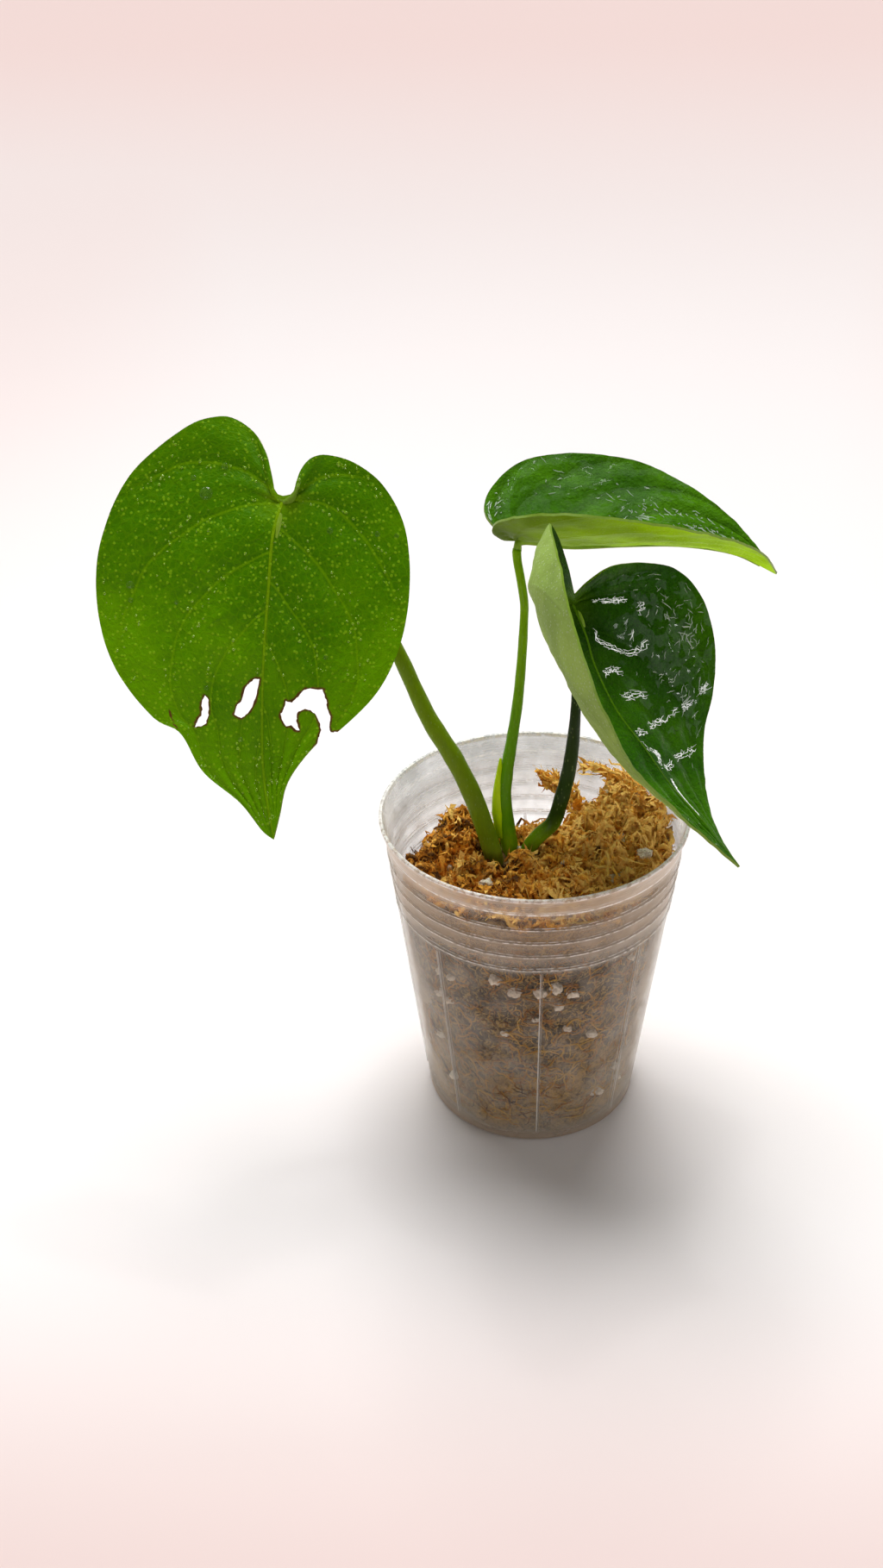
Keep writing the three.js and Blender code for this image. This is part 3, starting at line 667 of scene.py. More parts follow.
def hazy_plastic(sizes):
    """Thin clear plastic: scuffed above and clearer below. Bright beaded lines on the rings, lip and rim edge
    are painted highlights, with painted shadow lines under the rings. Each rib line is doubled as a painted
    highlight beside a painted shade line, and the plastic is painted paler toward its outline as a painted
    sheen.
    """
    paint = Paint("hazy_plastic", IOR=1.5, Specular_IOR_Level=0.6)
    point = paint.place()
    x, y, z = paint.split(point)
    around = paint.maths("ARCTAN2", y, x)
    wobble = paint.clouds(point, 7, 2) * 1.6 - 0.8
    beads = paint.rise(paint.clouds(point, 1.7, 2, 0.6), 0.35, 0.6, 0.25, 1.0)
    # Painted highlight lines along the rings, broken into beads, and painted shadow lines just under them.
    rings = 0
    shadows = 0
    for height in RING_HEIGHTS:
        gap = z + wobble * 0.3 - height
        rings = rings + paint.fall(abs(gap), 0.08, 0.3)
        shadows = shadows + paint.fall(abs(gap + 0.8), 0.2, 0.7)
    above = paint.rise(z, 66, 94)
    behind = paint.rise(y, -5, 25) * above
    front = 1 - paint.rise(y, -20, 5)
    rings = rings * beads * (1 - behind * 0.8)
    shadows = shadows * (1 - behind * 0.8)
    # Painted highlight lines on the lip and on the rim's edge.
    lip = paint.fall(abs(z - LIP_BOTTOM - 0.4), 0.15, 0.45) * beads
    edge = paint.rise(z, 98.5, 99.1) * beads
    turns = paint.maths("FRACT", (around - RIB_TURN) * (RIB_COUNT / TURN) + 4.5)
    mean_radius = 38
    off_rib = (turns - 0.5) * (TURN / RIB_COUNT * mean_radius)
    below = paint.fall(z, RIB_TOP - 1.5, RIB_TOP) * paint.rise(z, 3, 6)
    # Each rib is a painted highlight line with a painted shade line beside it.
    ribs = paint.fall(abs(off_rib + 0.3), 0.06, 0.22) * below
    rib_shade_lines = paint.fall(abs(off_rib - 0.15), 0.1, 0.3) * below
    scratches = paint.clouds(paint.stretch(point, 0.06, 0.06, 2.4), 1, 4, 0.6)
    fine = paint.rise(paint.clouds(paint.stretch(point, 0.12, 0.12, 3.5), 1, 3, 0.7), 0.56, 0.7)
    patches = paint.clouds(point, 9, 3, 0.6)
    facing = paint.facing(0.45)
    alpha = sizes.haze + facing ** 2.0 * 0.5 + behind * 0.26 + paint.rise(z, 1, 7, 0.3, 0.0)
    alpha = alpha + (scratches - 0.5) * 0.12 + (patches - 0.5) * 0.45 + fine * above * 0.18
    alpha = alpha + rings * 0.6 + ribs * 0.22 + rib_shade_lines * 0.14
    alpha = alpha + lip * 0.6 * front + edge * 0.45 + shadows * 0.2
    misty = paint.rise(z, 70, 80) * paint.fall(z, 80, 94)
    high = paint.rise(z, 90, 95) * front * (facing + 0.4) + paint.rise(z, 70, 75) * front * facing
    low = paint.rise(z, 38, 48) * paint.fall(z, 68, 74) * front * (1 - facing * 2)
    alpha = alpha + front * (misty * 0.1 - paint.rise(z, 84, 94) * 0.1) + high * 0.32 - low * 0.08
    alpha = paint.clamp(alpha, 0.04, 0.95)
    # Paler toward the outline: a painted sheen.
    skin = paint.mix(facing ** 1.5 * 0.8, sizes.plastic, (0.86, 0.78, 0.66))
    skin = paint.mix(front * paint.rise(z, 72, 80) * 0.75, skin, (0.66, 0.5, 0.34))
    skin = paint.mix(behind, skin, (0.46, 0.52, 0.54))
    skin = paint.mix(fine * above * 0.7, skin, (0.85, 0.86, 0.84))
    # The painted shadow lines under the rings and the painted shade lines by the ribs darken it.
    skin = paint.mix(paint.maths("MAXIMUM", shadows * 0.6, rib_shade_lines * 0.7), skin, (0.2, 0.17, 0.13))
    skin = paint.mix(paint.rise(z, 1, 6, 0.9, 0.0), skin, (0.6, 0.44, 0.3))
    # The painted highlights of the rings, rim edge, lip and ribs turn it near white.
    bright = paint.clamp(rings + edge + lip + ribs * 0.7)
    skin = paint.mix(bright, skin, (1, 0.98, 0.94))
    rough = 0.2 + patches * 0.2 + scratches * 0.1
    height = scratches * 0.05 + paint.clouds(point, 1.3, 2) * 0.03
    height = height + rings * paint.clouds(point, 1.1, 1) * 0.25
    return paint.feed(Base_Color=skin, Alpha=alpha, Roughness=rough, Normal=paint.relief(height))


def pot_profile(rim):
    """The pot's section as radius and height, from the centre of the base round to the floor inside."""
    profile = [(0, 0.5), (BASE_RADIUS - 4.5, 0.5), (BASE_RADIUS - 3.6, 0), (BASE_RADIUS - BASE_CORNER, 0)]
    for turn in (0.5, 1, 1.5):
        radius = BASE_RADIUS - BASE_CORNER * (1 - math.sin(turn))
        profile.append((radius, BASE_CORNER * (1 - math.cos(turn))))
    profile += [(wall_radius(height), height) for height in (8, 16, 24, 32, 40, 48, 56, 64, 71)]
    for height in RING_HEIGHTS:
        for step in range(-4, 5):
            lift = 0.45 * (0.5 + 0.5 * math.cos(math.pi * step / 4))
            profile.append((wall_radius(height + step * 0.25) + lift, height + step * 0.25))
    profile += [(wall_radius(91.5), 91.5), (LIP_CORNER_RADIUS - 0.05, LIP_BOTTOM - 0.3)]
    profile += [(LIP_CORNER_RADIUS + 0.1, LIP_BOTTOM), (LIP_CORNER_RADIUS + 0.32, LIP_BOTTOM + 0.7)]
    profile += [(rim - 0.75, 97.2), (rim - 0.35, 98.8), (rim, 99.15), (rim, 99.7), (rim - 0.2, 99.95)]
    profile += [(rim - 0.6, POT_HEIGHT), (rim - 0.95, 99.9), (rim - 1.15, 99.4), (rim - 1.5, 97.4)]
    below_lip = inner_radius(LIP_BOTTOM)
    profile += [(below_lip + 0.3, LIP_BOTTOM + 0.6), (below_lip, LIP_BOTTOM - 0.2)]
    for height in reversed(RING_HEIGHTS):
        for step in (3, 0, -3):
            lift = 0.3 if step == 0 else 0
            profile.append((inner_radius(height + step * 0.25) + lift, height + step * 0.25))
    profile += [(inner_radius(height), height) for height in (70, 56, 42, 28, 14, 3)]
    return profile + [(inner_radius(2) - 0.3, 1.9), (inner_radius(1.4) - 1.2, 1.4), (0, 1.9)]


class PLANT_OT_pot(bpy.types.Operator):
    """Turns the clear tapered pot with its rings, lip, upright ribs and drain holes"""
    bl_idname = "plant.pot"
    bl_label = "Clear pot"

    def execute(self, context):
        sizes = context.scene.plant.pot
        tall = sizes.height / MM / POT_HEIGHT
        profile = pot_profile(sizes.rim_radius / MM)
        bm = spun([(radius, height * tall) for radius, height in profile], steps=144, merge=1e-3)
        bmesh.ops.recalc_face_normals(bm, faces=bm.faces)
        for vert in bm.verts:
            if 71 < vert.co.z < 99.2:
                flat = Vector((vert.co.x, vert.co.y, 0)).normalized()
                vert.co += flat * noise.noise(vert.co * 0.35) * 0.1
                vert.co.z += noise.noise(Vector((vert.co.x, vert.co.y, 5)) * 0.09) * 0.25
        plastic = hazy_plastic(sizes)
        holes = {"object": placed(self.drains(), "drains"), "operation": "DIFFERENCE", "solver": "EXACT"}
        shell = finished(bm, [plastic], ("BOOLEAN", holes))
        keep(joined(shell, self.ribs()), "pot_shell", [plastic], "clear_pot", ["pot"], sharp=50)
        return {"FINISHED"}

    def drains(self):
        """Upright rods that cut the drain holes."""
        bm = bmesh.new()
        for index in range(DRAIN_COUNT):
            spot = Matrix.Translation(polar(DRAIN_CIRCLE, TURN * (index + 0.5) / DRAIN_COUNT, 1))
            bmesh.ops.create_cone(bm, cap_ends=True, segments=24, radius1=DRAIN_RADIUS, radius2=DRAIN_RADIUS,
                                  depth=DRAIN_DEPTH, matrix=spot)
        return bm

    def ribs(self):
        """Slim upright ribs on the outside of the wall."""
        bm = bmesh.new()
        tall = RIB_TOP - RIB_BOTTOM
        middle = (RIB_TOP + RIB_BOTTOM) / 2
        lean = Matrix.Rotation(math.atan2(wall_radius(RIB_TOP) - wall_radius(RIB_BOTTOM), tall), 4, "Y")
        spot = Matrix.Translation((wall_radius(middle) + 0.2, 0, middle))
        shape = spot @ lean @ Matrix.Diagonal((RIB_DEPTH, RIB_WIDTH, tall, 1))
        for index in range(RIB_COUNT):
            spin = Matrix.Rotation(RIB_TURN + TURN * index / RIB_COUNT, 4, "Z")
            bmesh.ops.create_cube(bm, size=1, matrix=spin @ shape)
        bmesh.ops.bevel(bm, geom=bm.edges, offset=0.18, segments=2, profile=0.5, affect="EDGES", material=-1)
        return bm


def moss_paint(name, sizes, light=1.0):
    """Golden brown moss, darker inside and brightest on the tips of its strands. The dark inside is partly
    painted shade in the hollows, the moss is painted lighter toward the right as painted light, and light
    scales every colour, so a value below 1 makes a copy in painted shade.
    """
    paint = Paint(name, Specular_IOR_Level=0.15)
    point = paint.place()
    x, _, _ = paint.split(point)
    tint, _, _ = paint.uv("strand")
    broad = paint.clouds(point, 7, 2)
    fine = paint.clouds(point, 0.9, 3, 0.7)
    # Each strand's tint and random clouds, lifted toward the right: painted light.
    blend = tint * 0.8 + broad * 1.3 + (fine - 0.5) * 0.9 + paint.rise(x, -14, 16, -0.52, -0.33)
    ramp = paint.node("ShaderNodeValToRGB", {"stops": [
        (0.08, scaled(sizes.earth_and_shade, light)), (0.28, scaled(sizes.moss, 0.6 * light)),
        (0.47, scaled(sizes.moss, light)), (0.7, scaled(sizes.gold, light)),
        (0.92, scaled((1, 0.62, 0.16), light))]}, (blend,))
    height = fine * 0.5 + paint.clouds(point, 0.4, 2) * 0.35
    return paint.feed(Base_Color=ramp, Roughness=0.75 + fine * 0.2, Normal=paint.relief(height, 0.9))


def core_paint():
    """Packed mix: tan and stringy below, dark and patchy above, as it shows through the wall."""
    paint = Paint("packed_mix", Specular_IOR_Level=0.15)
    point = paint.place()
    _, _, z = paint.split(point)
    broad = paint.clouds(point, 8, 3, 0.65)
    fine = paint.clouds(point, 1.4, 4, 0.7, 0.8)
    threads = paint.fall(abs(paint.clouds(point, 3.2, 2, 0.5, 1.4) - 0.5), 0.01, 0.05)
    dark = paint.mix(paint.rise(fine, 0.3, 0.7), (0.018, 0.012, 0.007), (0.14, 0.09, 0.04))
    tan = paint.mix(paint.rise(fine, 0.3, 0.7), (0.16, 0.09, 0.03), (0.6, 0.38, 0.17))
    depth = paint.rise(z * 0.008 + broad * 1.2, 0.6, 1.05) * paint.fall(z + broad * 10, 78, 90)
    skin = paint.mix(depth, tan, dark)
    skin = paint.mix(threads * 0.75, skin, (0.56, 0.34, 0.1))
    height = fine * 1.2 + paint.cells(point, 2.2) * 0.6
    return paint.feed(Base_Color=skin, Roughness=0.85 + fine * 0.1, Normal=paint.relief(height))


def perlite_paint(sizes):
    paint = Paint("perlite", Roughness=0.85, Specular_IOR_Level=0.3)
    point = paint.place()
    pits = paint.cells(point, 0.7)
    dust = paint.clouds(point, 1.5, 3)
    skin = paint.mix(paint.rise(dust, 0.45, 0.75) * 0.6, sizes.perlite, (0.5, 0.36, 0.2))
    skin = paint.mix(paint.rise(pits, 0.1, 0.4, 0.5, 0.0), skin, (0.35, 0.27, 0.18))
    return paint.feed(Base_Color=skin, Normal=paint.relief(pits * 0.4))


class PLANT_OT_growing_mix(bpy.types.Operator):
    """Packs the pot with dark mix, moss strands on top and along the wall, and grains of perlite"""
    bl_idname = "plant.growing_mix"
    bl_label = "Growing mix"

    def execute(self, context):
        sizes = context.scene.plant.mix
        self.stems = []
        steps = 80
        for petiole in (PETIOLE_LEFT, PETIOLE_MIDDLE, PETIOLE_RIGHT):
            line = Line(petiole["points"])
            for step in range(steps // 2):
                spot = line.at(step / steps)
                if spot.z < STEM_TOP:
                    self.stems.append((spot, stepped(petiole["radii"], step / steps)))

        def pack(bm, name, material):
            keep(bm, name, [material], "moss_mix", ["growing_mix"])

        pack(self.core(), "mix_core", core_paint())
        moss = moss_paint("dry_moss", sizes)
        rng = random.Random(4)
        tufts = [(Line(points), radii) for points, radii in TUFTS]
        strands = [self.strand(rng, lengths=(5, 15), sizes=(0.4, 0.95), lift=2.6)
                   for _ in range(sizes.strands)]
        strands += [self.arching(rng, line, radii) for line, radii in tufts
                    for _ in range(round(TUFT_STRANDS * max(radii)))]
        pack(bundle(strands, sides=5), "moss_strands", moss)
        fibres = [self.strand(rng, lengths=(5, 14), sizes=(0.1, 0.22), lift=4.0) for _ in range(FIBRES)]
        pack(bundle(fibres, sides=3), "moss_fibres", moss)
        pack(bundle(self.leaflets(rng, strands, sizes.fuzz), sides=1), "moss_leaflets", moss)
        ribbons = [self.strand(rng, lengths=(6, 15), sizes=(0.35, 0.8), lift=4.0) for _ in range(RIBBONS)]
        ribbons += [self.arching(rng, line, radii) for line, radii in tufts for _ in range(TUFT_RIBBONS)]
        twist = [(points, radii, tint, Vector((rng.gauss(0, 0.6), rng.gauss(0, 0.6), 1)).normalized())
                 for points, radii, tint, _ in ribbons]
        pack(bundle(twist, sides=1), "moss_ribbons", moss)
        # The strands against the wall are painted in the moss's colours dimmed to 0.62: painted shade.
        wall = [self.wall_strand(rng) for _ in range(WALL_STRANDS)]
        pack(bundle(wall, sides=4), "wall_strands", moss_paint("shaded_pressed_moss", sizes, 0.62))
        pack(self.grains(rng), "perlite_grains", perlite_paint(sizes))
        return {"FINISHED"}

    def core(self):
        """A plug that fills the pot, with a rough top."""
        rings = [(step / 14, 1) for step in range(15)]
        sides = [(1, 1 - step / 30) for step in range(1, 31)]
        bm = spun([*rings, *sides, (0, 0)], steps=120, merge=1e-5)
        for vert in bm.verts:
            out = math.hypot(vert.co.x, vert.co.y)
            turn = math.atan2(vert.co.y, vert.co.x)
            up = vert.co.z
            edge_spot = (MIX_EDGE * math.cos(turn), MIX_EDGE * math.sin(turn))
            if up > 0.999:
                radius = out * (inner_radius(mix_height(*edge_spot)) - 1.4)
                x, y = radius * math.cos(turn), radius * math.sin(turn)
                vert.co = (x, y, moss_top(x, y)[0] - 1.6 + 0.8 * noise.noise(Vector((x, y, 0)) * 0.4))
            else:
                height = 1.5 + up * (moss_top(*edge_spot)[0] - 3.1)
                rough = noise.noise(Vector((*edge_spot, height)) * 0.3)
                radius = (inner_radius(height) - 0.8 - 0.8 * smooth(4, 14, height) + 0.6 * rough) * out
                vert.co = polar(radius, turn, height)
        bmesh.ops.recalc_face_normals(bm, faces=bm.faces)
        return bm

    def clear(self, spot, room):
        """True inside the wall and away from the stalks."""
        if math.hypot(spot.x, spot.y) > inner_radius(min(spot.z, LIP_BOTTOM)) - room:
            return False
        return all((spot - stem).length > radius + room for stem, radius in self.stems)

    def strand(self, rng, lengths, sizes, lift):
        """One curling strand that lies on the mix."""
        while True:
            turn = rng.uniform(0, TURN)
            out = MOSS_REACH * math.sqrt(rng.random())
            x, y = out * math.cos(turn), out * math.sin(turn)
            heading = rng.uniform(0, TURN)
            bend = rng.gauss(0, 0.35)
            step = rng.uniform(*lengths) / STRAND_STEPS
            arch = rng.random() ** 2 * lift
            tilt = rng.gauss(0, 0.25)
            size = rng.uniform(*sizes)
            points = []
            radii = []
            for index in range(STRAND_STEPS + 1):
                part = index / STRAND_STEPS
                top, clump = moss_top(x, y)
                z = top - 0.5 + arch * math.sin(math.pi * part) + tilt * index * step * 0.4
                points.append(Vector((x, y, z + rng.gauss(0, 0.25))))
                swell = 0.35 + 0.65 * math.sin(math.pi * (0.12 + 0.76 * part))
                radii.append(size * swell * rng.uniform(0.7, 1.25))
                heading += bend + rng.gauss(0, 0.5)
                x += step * math.cos(heading)
                y += step * math.sin(heading)
            if all(self.clear(point, size + 0.2) for point in points):
                # A random tone, with painted light and shade added: lighter where the strand arches up or
                # lies on a high clump, darker in the hollows, lighter to the right.
                tone_and_painted_light = 0.27 + 0.45 * rng.random() + 0.35 * arch / lift + 1.3 * clump + 0.013 * x
                return points, radii, min(max(tone_and_painted_light, 0), 1), Vector((0, 0, 1))

    def arching(self, rng, line, radii):
        """One strand of a tuft, inside the room that the tuft takes."""
        start = rng.uniform(-0.1, 0.7)
        end = start + rng.uniform(0.25, 0.5)
        points = []
        sizes = []
        shift = drift(rng).normalized() * rng.uniform(0.1, 1.1)
        for index in range(STRAND_STEPS + 1):
            along = index / STRAND_STEPS
            part = start + (end - start) * along
            shift = shift + drift(rng) * 0.3
            points.append(line.at(part) + shift * stepped(radii, part) + Vector((0, 0, rng.gauss(0, 0.2))))
            sizes.append(rng.uniform(0.3, 0.6) * (0.5 + 0.5 * math.sin(math.pi * along)))
        for index in range(1, STRAND_STEPS + 1):
            if (points[index] - points[index - 1]).length < 0.05:
                points[index] += Vector((0, 0, 0.1 * index))
        return points, sizes, rng.uniform(0.35, 1.0), Vector((0, 0.3, 1)).normalized()

    def leaflets(self, rng, strands, count):
        """Short pointed leaflets that stand off the strands and make them frizzy."""
        made = []
        while len(made) < count:
            points, _, tint, _ = strands[rng.randrange(len(strands))]
            index = rng.randrange(1, len(points) - 1)
            root = points[index]
            ahead = (points[index + 1] - root).normalized()
            out = Vector((rng.gauss(0, 1), rng.gauss(0, 1), rng.gauss(0.5, 0.8))).normalized()
            way = (ahead * 0.8 + out).normalized()
            long = rng.uniform(1.0, 3.6)
            wide = rng.uniform(0.3, 0.85)
            curl = Vector((rng.gauss(0, 0.2), rng.gauss(0, 0.2), rng.uniform(-0.5, 0.4))) * long
            spots = [root, root + way * long * 0.5 + curl * 0.5, root + way * long]
            if self.clear(spots[2], 0.5):
                made.append((spots, [wide * 0.6, wide, wide * 0.1], min(1, tint + rng.uniform(0, 0.3)), out))
        return made

    def wall_strand(self, rng):
        """One strand pressed against the inside of the wall."""
        while True:
            turn = rng.uniform(0, TURN)
            top = mix_height(WALL_MOSS_REACH * math.cos(turn), WALL_MOSS_REACH * math.sin(turn))
            height = rng.uniform(3, top)
            heading = rng.gauss(0, 0.7) + rng.choice((0, math.pi))
            bend = rng.gauss(0, 0.25)
            step = rng.uniform(4, 13) / STRAND_STEPS
            size = rng.uniform(0.12, 0.34)
            deep = rng.uniform(0.1, 1.2)
            points = []
            for _ in range(STRAND_STEPS + 1):
                radius = inner_radius(height) - size - deep - rng.random() * 0.3
                points.append(polar(radius, turn, height))
                heading += bend + rng.gauss(0, 0.5)
                turn += step * math.cos(heading) / radius
                height += step * math.sin(heading)
            if 2.5 < height < top + 1 and min(point.z for point in points) > 2.5:
                radii = [size * (0.4 + 0.6 * math.sin(math.pi * (0.1 + 0.8 * index / STRAND_STEPS)))
                         for index in range(STRAND_STEPS + 1)]
                tint = rng.random() * (0.75 - 0.35 * smooth(46, 54, height)) + 0.8 * smooth(74, 86, height)
                return points, radii, min(1, tint), points[STRAND_STEPS // 2].normalized()

    def grains(self, rng):
        """Lumpy white grains. Those on top have a place and a size, and those that are pressed against the
        wall have degrees round the pot, a height and a size."""
        on_top = [(23.4, -16.7, 2.9), (31.8, -8.8, 2.1), (25.3, 0.7, 1.6), (10.3, 13.2, 1.4),
                  (-13.1, -23.2, 1.7), (-4.2, -2.8, 1.2), (27, -24, 1.5), (4, -22, 1.1), (-24, -14, 1.1)]
        grains = [(Vector((x, y, moss_top(x, y)[0] + 1.2)), size) for x, y, size in on_top]
        pressed = [(-106, 66, 2.2), (-97, 62, 2.1), (-86, 62.5, 1.6), (-79, 64, 2.4), (-72, 61, 1.8),
                   (-78, 56.5, 1.4), (-73, 47, 1.2), (-102, 45, 1.3), (-88, 52, 0.9)]
        pressed += [(rng.uniform(-60, 235), rng.uniform(8, 70), rng.uniform(0.8, 2.1))
                    for _ in range(WALL_GRAINS)]
        for degrees, height, size in pressed:
            radius = inner_radius(height) - size * 0.8 - 0.1
            grains.append((polar(radius, math.radians(degrees), height), size))
        while len(grains) < GRAINS:
            spot = Vector((rng.uniform(-38, 38), rng.uniform(-38, 38), 0))
            spot.z = moss_top(spot.x, spot.y)[0] + 0.2
            size = rng.uniform(0.5, 1.4)
            if self.clear(spot, size + 0.4):
                grains.append((spot, size))
        parts = []
        for spot, size in grains:
            bm = bmesh.new()
            bmesh.ops.create_icosphere(bm, subdivisions=3, radius=1)
            shift = Vector((rng.uniform(0, 90), rng.uniform(0, 90), 0))
            squash = Vector((rng.uniform(0.8, 1.2), rng.uniform(0.75, 1.1), rng.uniform(0.65, 0.95)))
            for vert in bm.verts:
                lump = 1 + 0.6 * noise.noise(vert.co * 1.5 + shift) + 0.2 * noise.noise(vert.co * 4 + shift)
                vert.co = spot + vert.co * squash * size * lump
            parts.append(bm)
        return joined(*parts)


def crown_paint(sizes):
    paint = Paint("crown_bark", Roughness=0.75)
    point = paint.place()
    broad = paint.clouds(point, 5, 3)
    fine = paint.clouds(paint.stretch(point, 1, 1, 0.3), 0.8, 3)
    skin = paint.mix(paint.rise(broad, 0.35, 0.65), sizes.root, (0.07, 0.09, 0.01))
    skin = paint.mix(paint.rise(fine, 0.4, 0.7) * 0.5, skin, (0.05, 0.03, 0.012))
    return paint.feed(Base_Color=skin, Normal=paint.relief(fine * 0.4))


class PLANT_OT_crown(bpy.types.Operator):
    """Gives the short stem and the roots their skin"""
    bl_idname = "plant.crown"
    bl_label = "Crown"

    def execute(self, context):
        bark = crown_paint(context.scene.plant.stalk)
        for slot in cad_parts["stem_and_roots"].material_slots:
            slot.material = bark
        return {"FINISHED"}


def stalk_paint(name, upper, lower, base, low, high, lift=0):
    """A smooth green stalk with pale flecks and a wet gloss. It goes from lower to upper between the heights
    low and high, and to base at its foot."""
    paint = Paint(name, Coat_Roughness=0.12, IOR=1.45, Specular_IOR_Level=0.08)
    point = paint.place()
    _, _, z = paint.split(point)
    broad = paint.clouds(point, 7, 3)
    streaks = paint.clouds(paint.stretch(point, 1, 1, 0.16), 0.9, 3, 0.6)
    flecks = paint.fall(paint.cells(paint.stretch(point, 1, 1, 0.5), 0.9), 0.12, 0.3)
    up = paint.rise(z + (broad - 0.5) * 14, low, high)
    skin = paint.mix(up, lower, upper)
    skin = paint.mix(paint.fall(z + (broad - 0.5) * 6, 88 + lift, 97 + lift), skin, base)
    skin = paint.shade(skin, 0.8 + streaks * 0.4)
    skin = paint.mix(flecks * 0.22, skin, (0.3, 0.42, 0.12))
    height = paint.clouds(point, 0.5, 2) * 0.07 + streaks * 0.08 + flecks * 0.05
    return paint.feed(Base_Color=skin, Roughness=0.32 + broad * 0.2,
                      Coat_Weight=paint.rise(broad, 0.4, 0.7) * 0.2, Normal=paint.relief(height))


def stalk_route(leaf):
    """The stalk, its knee and the leaf's rib as one line, and the fraction of it where the blade starts."""
    blade = Blade(leaf)
    rib = []
    for step in (0.2, 0.4, 0.6, 0.8, 0.94):
        down = FAN + (1 - FAN) * step ** (1 / VEIN_SPACING)
        here = blade.at(down, 0)
        along = blade.at(min(down + 0.01, 1), 0) - here
        up = (blade.at(down, 0.1) - here).cross(along).normalized()
        up += along.cross(blade.at(down, -0.1) - here).normalized()
        rib.append(here - up.normalized() * (stepped(RIB_RADII, step) * leaf.get("rib_drop", 1.1)))
    points = leaf["petiole"]["points"]
    route = Line([*points, *leaf["knee"], *rib])
    lower = Line([*points, leaf["knee"][0]])
    return route, (lower.length - 1.6) / route.length


class PLANT_OT_petioles(bpy.types.Operator):
    """Grows the three leaf stalks and the papery sheath on the middle one"""
    bl_idname = "plant.petioles"
    bl_label = "Leaf stalks"

    def execute(self, context):
        sizes = context.scene.plant.stalk
        light = stalk_paint("stalk_green", sizes.light, (0.15, 0.24, 0.003), (0.26, 0.36, 0.02), 96, 150)
        lime = stalk_paint("stalk_lime", (0.21, 0.42, 0.002), (0.12, 0.32, 0.002), (0.34, 0.56, 0.004),
                           118, 160)
        # The right stalk's near-black upper colour is partly its own dark green and partly painted shade.
        dark = stalk_paint("stalk_dark_green_and_shade", sizes.dark, (0.02, 0.05, 0.002), (0.16, 0.3, 0.004),
                           98, 140, 5)
        paper = (0.56, 0.84, 0.002)
        sheath = stalk_paint("sheath_green", paper, paper, (0.46, 0.7, 0.01), 100, 140)
        for leaf, name, paints, slot in (
                (LEAF_LEFT, "left", [light], "stalk_light"),
                (LEAF_TOP, "middle", [lime, sheath], "stalk_light"),
                (LEAF_RIGHT, "right", [dark], "stalk_dark")):
            stalk = leaf["petiole"]
            route, share = stalk_route(leaf)
            radii = stalk["radii"]

            def radius(part, radii=radii):
                lumps = 1 + 0.05 * noise.noise(Vector((part * 26, 3, radii[0])))
                return stepped(radii, part) * lumps

            bm = rod(route, radius, sides=20, steps=110, end=share + 0.014)
            if "sheath" in stalk:
                wrap = rod(Line(stalk["sheath"]), lambda part: stepped(stalk["sheath_radii"], part), sides=16,
                           steps=30, flat=0.75)
                for face in wrap.faces:
                    face.material_index = 1
                bm = joined(bm, wrap)
            keep(bm, "petiole_" + name + "_skin", paints, slot, ["petiole_" + name])
        return {"FINISHED"}


def vein_lines(paint, across, down, spread, wave):
    """Where the side veins run: the distance from the nearest one, and how far out from the rib."""
    side = across * 2 - 1
    out = abs(side)
    lean = paint.maths("MAXIMUM", (down - 0.12) * 0.55, 0)
    turn = (down - out * (out * 0.06 + lean) + wave) * VEINS + paint.maths("LESS_THAN", side, 0) * 0.5
    return abs(paint.maths("FRACT", turn) - 0.5) * (1 / VEINS) * spread * SPREAD_UNIT, out


